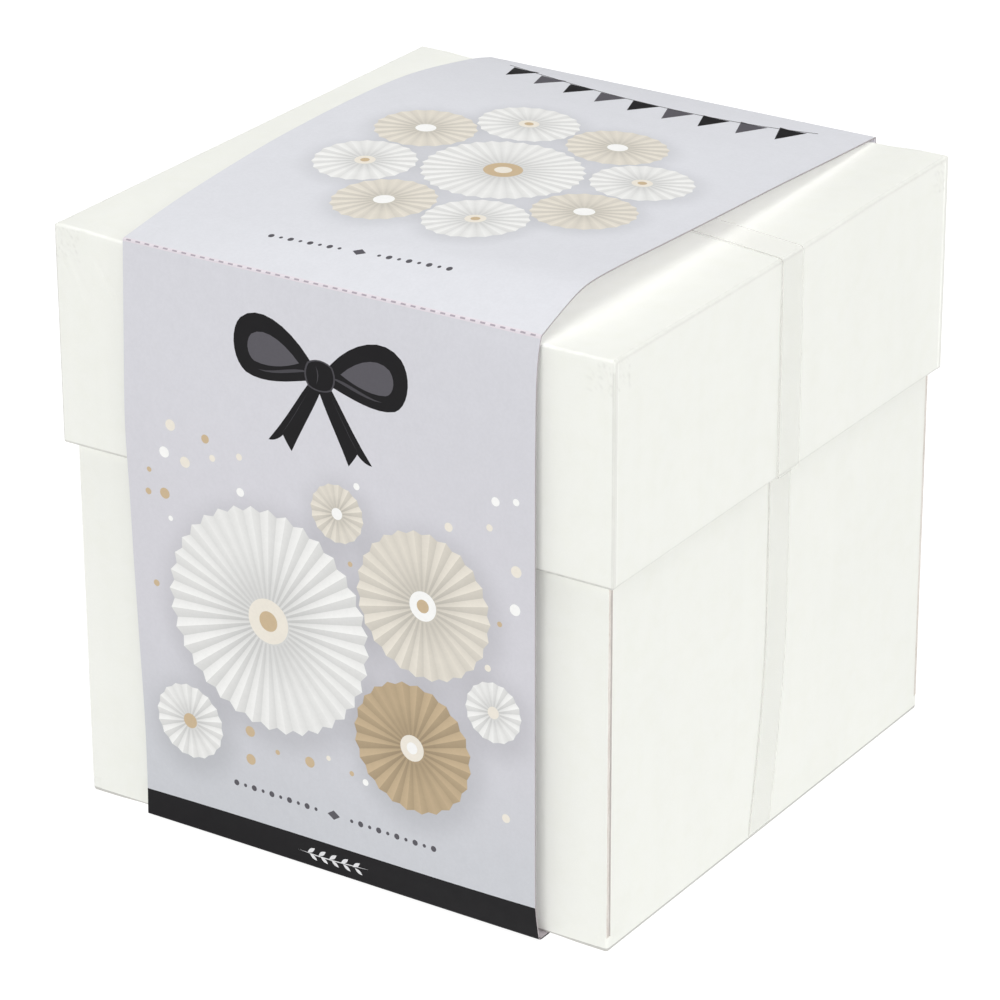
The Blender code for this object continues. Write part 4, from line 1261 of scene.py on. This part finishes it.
for i, lx in enumerate((-6.2, -3.6, -1.0, 1.8, 4.6)):
    front_art.append(leaf(lx, 2.98, 2.3, 0.42, math.radians(38), lin(226, 226, 228)))
    front_art.append(leaf(lx + 0.5, 2.9, 2.1, 0.40, math.radians(-36), lin(226, 226, 228)))

top_art = []
for i, (cx, cy, r) in enumerate(TOP_ROUNDS[1:]):
    top_art += rosette(cx, cy, r, 20, INK_WHITE if i % 2 == 0 else INK_CREAM, INK_CREAM if i % 2 == 0 else INK_WHITE,
                       0.1 * i, deep=0.16, button=INK_WHITE if i % 2 else INK_KRAFT)
top_art += rosette(*TOP_ROUNDS[0], 32, INK_WHITE, INK_KRAFT, 0.03, deep=0.17, hub=0.24, button=INK_CREAM)
for i in range(9):
    bx = -32.0 + 8.0 * i
    sag = 4.6 * (1.0 - (bx / 33.0) ** 2)
    y0 = 55.5 - sag
    ink = INK_DARK if i % 2 == 0 else INK_SLATE
    top_art.append(Shape([(bx - 3.1, y0 + 0.1 + 0.1 * abs(bx) / 8), (bx, y0 - 7.6), (bx + 3.1, y0 + 0.1 + 0.1 * abs(bx) / 8), (bx, y0 + 0.05)], ink))
string = []
for i in range(21):
    bx = -37.0 + 3.7 * i
    string.append((bx, 55.9 - 4.6 * (1.0 - (bx / 33.0) ** 2)))
top_art.append(Shape(string + [(x, y - 0.34) for x, y in string[::-1]], INK_DARK))
top_art += dotted_rule(0.5, -51.5, 19, 2.2, 0.62, INK_SLATE)

# the perforated line, half of it on each side of the fold's middle
TOP_END, WALL_END = FACE_OUT - FOLD + HALF_FOLD, WALL_TOP + HALF_FOLD
for art, edge, way in ((top_art, -TOP_END, 1.0), (front_art, WALL_END, -1.0)):
    pale, dash = edge + way * 0.44, edge + way * 0.18
    art.append(Shape([(SLEEVE_LEFT, edge), (SLEEVE_RIGHT, edge), (SLEEVE_RIGHT, pale), (SLEEVE_LEFT, pale)], INK_PALE))
    x = SLEEVE_LEFT + 0.75
    while x + 1.1 < SLEEVE_RIGHT:
        art.append(Shape([(x, edge), (x + 1.08, edge), (x + 1.08, dash), (x, dash)], INK_MAUVE))
        x += 2.13


def inside_polygon(pts, poly):
    """Which of the points lie in the polygon (even-odd)."""
    x, y = pts[:, 0], pts[:, 1]
    hit = np.zeros(len(pts), bool)
    j = len(poly) - 1
    for i in range(len(poly)):
        xi, yi, xj, yj = poly[i][0], poly[i][1], poly[j][0], poly[j][1]
        if yi != yj:
            cross = ((yi > y) != (yj > y)) & (x < (xj - xi) * (y - yi) / (yj - yi) + xi)
            hit ^= cross
        j = i
    return hit


def printed(name, body, node, v0, v1, rows, step, art, ground, point, squash=None, inked=None):
    """A sheet of printed paper.  Its outline and every printed region are cut into one mesh; rows are extra
    lines of points across it where it bends."""
    u0, u1 = SLEEVE_LEFT, SLEEVE_RIGHT
    nu = int(round((u1 - u0) / step))
    us = [u0 + (u1 - u0) * i / nu for i in range(nu + 1)]
    nv = int(round((v1 - v0) / step))
    vs = sorted(set([v0, v1] + [round(v, 4) for v in rows]
                    + [v for v in (v0 + (v1 - v0) * i / nv for i in range(nv + 1)) if all(abs(v - r) > 0.45 * step for r in rows)]))
    pts, edges = [], []
    for v in vs:
        for u in us:
            pts.append(Vector((u, v)))
    w = len(us)

    def add_line(line):
        fine = [line[0]]
        for (ax, ay), (bx, by) in zip(line, line[1:]):
            parts = max(1, int(math.ceil(math.hypot(bx - ax, by - ay) / step)))
            fine += [(ax + (bx - ax) * k / parts, ay + (by - ay) * k / parts) for k in range(1, parts + 1)]
        base = len(pts)
        for p in fine:
            pts.append(Vector(p))
        for i in range(len(fine) - 1):
            edges.append((base + i, base + i + 1))

    for i in range(len(vs) - 1):
        edges.append((i * w, (i + 1) * w))
        edges.append((i * w + w - 1, (i + 1) * w + w - 1))
    for i in range(w - 1):
        edges.append((i, i + 1))
        edges.append(((len(vs) - 1) * w + i, (len(vs) - 1) * w + i + 1))
    inside_art = []
    for shape in art:
        q = shape.pts
        add_line([tuple(p) for p in q] + [tuple(q[0])])
        inside_art.append(shape)
    flat, _, tris, _, _, _ = delaunay_2d_cdt(pts, edges, [], 0, 1e-4)
    flat = np.array([(p.x, p.y) for p in flat])
    tris = np.array([t for t in tris if len(t) == 3], int)
    a, b, c = flat[tris[:, 0]], flat[tris[:, 1]], flat[tris[:, 2]]
    area = 0.5 * np.abs((b[:, 0] - a[:, 0]) * (c[:, 1] - a[:, 1]) - (b[:, 1] - a[:, 1]) * (c[:, 0] - a[:, 0]))
    tris = tris[area > 1e-7]
    mid = flat[tris].mean(1)
    owner = np.full(len(tris), -1)
    for k, shape in enumerate(inside_art):
        lo, hi = shape.pts.min(0), shape.pts.max(0)
        near = np.nonzero((mid[:, 0] > lo[0]) & (mid[:, 0] < hi[0]) & (mid[:, 1] > lo[1]) & (mid[:, 1] < hi[1]))[0]
        if len(near):
            owner[near[inside_polygon(mid[near], shape.pts)]] = k
    n = len(flat)
    verts = [point(u, v, 0.0) for u, v in flat] + [point(u, v, 1.0) for u, v in flat]
    faces = [tuple(int(i) for i in t) for t in tris]
    count = {}
    for t in faces:
        for i in range(3):
            e = (t[i], t[(i + 1) % 3])
            count[tuple(sorted(e))] = count.get(tuple(sorted(e)), 0) + 1
    rim = [(t[i], t[(i + 1) % 3]) for t in faces for i in range(3) if count[tuple(sorted((t[i], t[(i + 1) % 3])))] == 1]
    back = [(t[0] + n, t[2] + n, t[1] + n) for t in faces]
    sides = [(p, p + n, q + n, q) for p, q in rim]
    mesh = bpy.data.meshes.new(name)
    mesh.from_pydata(verts, [], faces + back + sides)
    edge_slots = [3 if inked and inked(*(0.5 * (flat[p] + flat[q]))) else 2 for p, q in rim]
    # the bare side under a sheet's inked ends takes the darker cut-edge colour: painted shade
    back_slots = [2 if inked and inked(*flat[list(t)].mean(0)) else 1 for t in faces]
    slots = np.array([0] * len(faces) + back_slots + edge_slots, np.int32)
    mesh.polygons.foreach_set("material_index", slots)
    ink = mesh.color_attributes.new("ink", "FLOAT_COLOR", "CORNER")
    values = np.ones((len(mesh.loops), 4), np.float32)
    at = 0
    for f, t in enumerate(faces):
        shape = inside_art[owner[f]] if owner[f] >= 0 else None
        for i in t:
            u, v = flat[i]
            if shape is None:
                values[at, :3] = ground(u, v)
            elif callable(shape.ink):
                values[at, :3] = shape.ink(u, v)
            else:
                values[at, :3] = shape.ink
            at += 1
    ink.data.foreach_set("color", values.ravel())
    bm = bmesh.new()
    bm.from_mesh(mesh)
    bmesh.ops.recalc_face_normals(bm, faces=bm.faces[:])
    bm.to_mesh(mesh)
    bm.free()
    for mat in (sleeve_print, sleeve_back_face, sleeve_cut_shaded, fold_ink):
        mesh.materials.append(mat)
    mesh.shade_smooth()
    mesh.set_sharp_from_angle(angle=math.radians(50.0))
    ob = bpy.data.objects.new(name, mesh)
    bpy.context.scene.collection.objects.link(ob)
    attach(ob, body)
    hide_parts(node)
    if squash:
        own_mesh(ob)
    return ob


lim = FACE_OUT - FOLD
bends = [HALF_FOLD * k / 5 for k in range(6)]
top_rows = [-lim - b for b in bends] + [lim + b for b in bends] + [0.5 - lim, lim - 0.5]
printed("sleeve_top_panel", "sleeve_top", "sleeve_top", -TOP_END, TOP_END, top_rows, 1.9, top_art, top_ground, top_point)

wall_rows = [FOOT_R, 1.6, 3.0, 4.4] + [WALL_TOP + b for b in bends]
printed("sleeve_front_panel", "sleeve_front", "sleeve_front", FOOT_R, WALL_END, wall_rows, 1.6, front_art, front_ground,
        wall_point(-1.0), squash=(("sleeve_front_fold", (0, 1, 0), (0, -0.0626, 0)), dict(keep=0.15)))


def back_strip(x):
    return strip_top(mirrored(x, 1.0))


back_art = [Shape([(SLEEVE_LEFT, FOOT_R), (SLEEVE_RIGHT, FOOT_R), (SLEEVE_RIGHT, back_strip(SLEEVE_RIGHT)),
                   (SLEEVE_LEFT, back_strip(SLEEVE_LEFT))], INK_DARK)] + dotted_rule(0.9, 60.0, 23, 2.15, 0.62, INK_SLATE)
printed("sleeve_back_panel", "sleeve_back", "sleeve_back", FOOT_R, WALL_END, wall_rows, 2.4, back_art,
        lambda x, z: blend3(FRONT_LOW, FRONT_MID, smooth(4.0, 60.0, z)), wall_point(1.0),
        squash=(("sleeve_back_fold", (0, 1, 0), (0, 0.0626, 0)), dict(keep=0.15)))


def bottom_point(x, v, inside):
    sign = -1.0 if v < 0 else 1.0
    reach = foot_out(mirrored(x, sign)) - foot_r(mirrored(x, sign))
    shift = skew(x, -v / 60.0) if v < 0 else 0.0
    return Vector(((x + shift) * MM, v / 60.0 * reach * MM, PAPER * inside * MM))


printed("sleeve_bottom_panel", "sleeve_bottom", "sleeve_bottom", -60.0, 60.0, [], 4.0,
        [Shape([(SLEEVE_LEFT, a), (SLEEVE_RIGHT, a), (SLEEVE_RIGHT, b), (SLEEVE_LEFT, b)], INK_DARK) for a, b in ((-60.0, -55.0), (55.0, 60.0))],
        lambda x, y: FRONT_LOW, bottom_point, inked=lambda x, v: abs(v) > 55.0)

# the bottom folds
for sign, body in ((-1.0, "sleeve_front"), (1.0, "sleeve_back")):
    bm = bmesh.new()
    rows = []
    n = 58 if sign < 0 else 38
    for i in range(n + 1):
        x = SLEEVE_LEFT + (SLEEVE_RIGHT - SLEEVE_LEFT) * i / n
        stretch = 1.0 + rise(x, sign * FACE_OUT) / WALL_TOP
        r = foot_r(mirrored(x, sign))
        centre, shift = foot_out(mirrored(x, sign)) - r, skew(x, 1.0) if sign < 0 else 0.0
        sec = [(centre + d, h) for d, h in arc(0.0, r, r, r, -90, 0, 8) + arc(0.0, r, r - 0.1, r - 0.1, 0, -90, 8)]
        rows.append([bm.verts.new(((x + shift) * MM, sign * d * MM, h * stretch * MM)) for d, h in sec])
    m = len(rows[0])
    for a, b in zip(rows, rows[1:]):
        for i in range(m):
            j = (i + 1) % m
            # the fold's inner side and ends take the darker cut-edge colour: painted shade
            bm.faces.new((a[i], a[j], b[j], b[i])).material_index = 0 if i < 8 else 1
    bm.faces.new(rows[0]).material_index = 1
    bm.faces.new(rows[-1]).material_index = 1
    build(f"{body}_bottom_fold", bm, [fold_ink, sleeve_cut_shaded], None, (), sharp=60.0,
          blend=("sleeve_bottom", body, (0.0, sign * 0.062, 0.0), (0.0, sign * 0.062, 0.0007)))

# ====================================================================== tape
TAPE_WIDE, TAPE_MID, TAPE_SKEW, TAPE_FOOT = 8.0, 0.5, 4.4, -4.6
DARK_EDGE = 0.28                            # width of the film's front edge strip, drawn in the darker edge film


def film(name, path, wide, centre, thick, body, node, across_n=8):
    """A strip of clear film: path gives (point on its underside, outward normal) along it, in the x-z plane."""
    bm = bmesh.new()
    rows = []
    for k, ((px, pz), (nx, nz)) in enumerate(path):
        c = centre(px, pz)
        wob = 0.05 * noise.noise(Vector((px * 0.3, pz * 0.3, 1.0)))
        lower, upper = [], []
        for i in range(across_n + 1):
            share = max(0, i - 1) / (across_n - 1)
            y = c - wide / 2 + (0.0 if i == 0 else DARK_EDGE + (wide - DARK_EDGE) * share) + (wob if i in (0, 1, across_n) else 0.0)
            ripple = 0.02 * (1.0 + noise.noise(Vector((px * 0.25, y * 0.5, pz * 0.25))))
            lower.append(bm.verts.new(((px + nx * ripple) * MM, y * MM, (pz + nz * ripple) * MM)))
            upper.append(bm.verts.new(((px + nx * (ripple + thick)) * MM, y * MM, (pz + nz * (ripple + thick)) * MM)))
        rows.append((lower, upper))
    for (la, ua), (lb, ub) in zip(rows, rows[1:]):
        for i in range(across_n):
            bm.faces.new((ua[i], ua[i + 1], ub[i + 1], ub[i])).material_index = 1 if i == 0 else 0
            bm.faces.new((la[i], la[i + 1], lb[i + 1], lb[i])).material_index = 0
        bm.faces.new((la[0], ua[0], ub[0], lb[0])).material_index = 1
        bm.faces.new((la[-1], ua[-1], ub[-1], lb[-1])).material_index = 1
    for lower, upper in (rows[0], rows[-1]):
        for i in range(across_n):
            bm.faces.new((lower[i], lower[i + 1], upper[i + 1], upper[i])).material_index = 1
    return build(name, bm, [clear_tape, tape_cut], body, (node,), sharp=60.0)


path = []
lift, bend = 0.06, 0.85
for x in spread([36.0, (LID_HALF - bend, 1.3)]):
    path.append(((x, LID_TOP + lift), (0.0, 1.0)))
for i in range(1, 9):
    t = math.radians(90.0 * i / 9)
    path.append(((LID_HALF - bend + (bend + lift) * math.sin(t), LID_TOP - bend + (bend + lift) * math.cos(t)), (math.sin(t), math.cos(t))))
for z in spread([LID_TOP - bend, (LID_RIM + 0.1, 1.6)]):
    path.append(((LID_HALF + lift, z), (1.0, 0.0)))
film("tape_on_lid_film", path, TAPE_WIDE,
     lambda x, z: TAPE_MID + TAPE_SKEW * max(0.0, (LID_HALF - x) / 26.0) if z > LID_TOP - 0.5 else TAPE_MID,
     0.08, "lid", "tape_on_lid")


def tape_centre(h):
    t = max(0.0, 1.0 - h / 46.0)
    return TAPE_MID + (TAPE_FOOT - TAPE_MID) * t * t * (1.6 - 0.6 * t)


path = [((outer["hinge"] + 0.1, outer["z"] + h), (1.0, 0.0)) for h in spread([LID_RIM - 0.5 - outer["z"], (0.5, 1.8)])]
film("tape_on_wall_film", path, TAPE_WIDE, lambda x, z: tape_centre(z - outer["z"]), 0.08, "outer_wall_right", "tape_on_wall")

# ============================================================= stage and light
scene = bpy.context.scene
scene.view_settings.view_transform = "Standard"
scene.view_settings.look = "None"
scene.view_settings.exposure = 0.0
scene.view_settings.gamma = 1.0

floor_mat = Mat("studio_floor", 0.9, 0.05)
floor_mat.colour(floor_mat.mix(1.0, (0.3, 0.3, 0.3), floor_mat.remap(floor_mat.noise(3.0, 2.0, 0.5), 0.3, 0.7, 0.995, 1.0), "MULTIPLY"))
floor_mat.bsdf.inputs["Emission Color"].default_value = (1.0, 1.0, 1.0, 1.0)
floor_mat.bsdf.inputs["Emission Strength"].default_value = 0.85
bm = bmesh.new()
corners = [bm.verts.new((sx * 5.0, sy * 5.0, -0.00025)) for sx, sy in ((-1, -1), (1, -1), (1, 1), (-1, 1))]
bm.faces.new(corners)
mesh = bpy.data.meshes.new("studio_floor")
bm.to_mesh(mesh)
bm.free()
mesh.materials.append(floor_mat.mat)
floor = bpy.data.objects.new("studio_floor", mesh)
scene.collection.objects.link(floor)

world = bpy.data.worlds.new("studio")
scene.world = world
world.use_nodes = True
sky = world.node_tree.nodes["Background"]
sky.inputs["Color"].default_value = (1.0, 1.0, 1.0, 1.0)
sky.inputs["Strength"].default_value = 0.2


def softbox(name, at, to, size, watts, shade=True):
    light = bpy.data.lights.new(name, "AREA")
    light.shape = "SQUARE"
    light.size = size
    light.energy = watts
    light.use_shadow = shade
    light.cycles.use_multiple_importance_sampling = shade
    ob = bpy.data.objects.new(name, light)
    ob.location = at
    ob.rotation_euler = (Vector(to) - Vector(at)).to_track_quat("-Z", "Y").to_euler()
    scene.collection.objects.link(ob)


def around(azimuth, height, far):
    a, e = math.radians(azimuth), math.radians(height)
    return (far * math.cos(e) * math.cos(a), far * math.cos(e) * math.sin(a), 0.06 + far * math.sin(e))


softbox("overhead", around(-15, 82, 3.0), (0, 0, 0.1), 2.1, 36.5)
softbox("overhead_fill", around(-15, 82, 3.2), (0, 0, 0.1), 2.1, 28.5, shade=False)
softbox("right", around(2, 33, 3.0), (0, 0, 0.06), 1.8, 19.4)
softbox("front", around(-76, 25, 3.0), (0, 0, 0.06), 1.2, 26.4)

cam_data = bpy.data.cameras.new("camera")
cam_data.sensor_width = 36.0
cam_data.lens = 165.65
cam_data.clip_start, cam_data.clip_end = 0.05, 50.0
cam = bpy.data.objects.new("camera", cam_data)
cam.location = (0.4518, -0.69492, 0.42799)
cam.rotation_euler = [math.radians(a) for a in (65.7729, 0.169, 33.1058)]
scene.collection.objects.link(cam)
scene.camera = cam

bpy.context.view_layer.update()
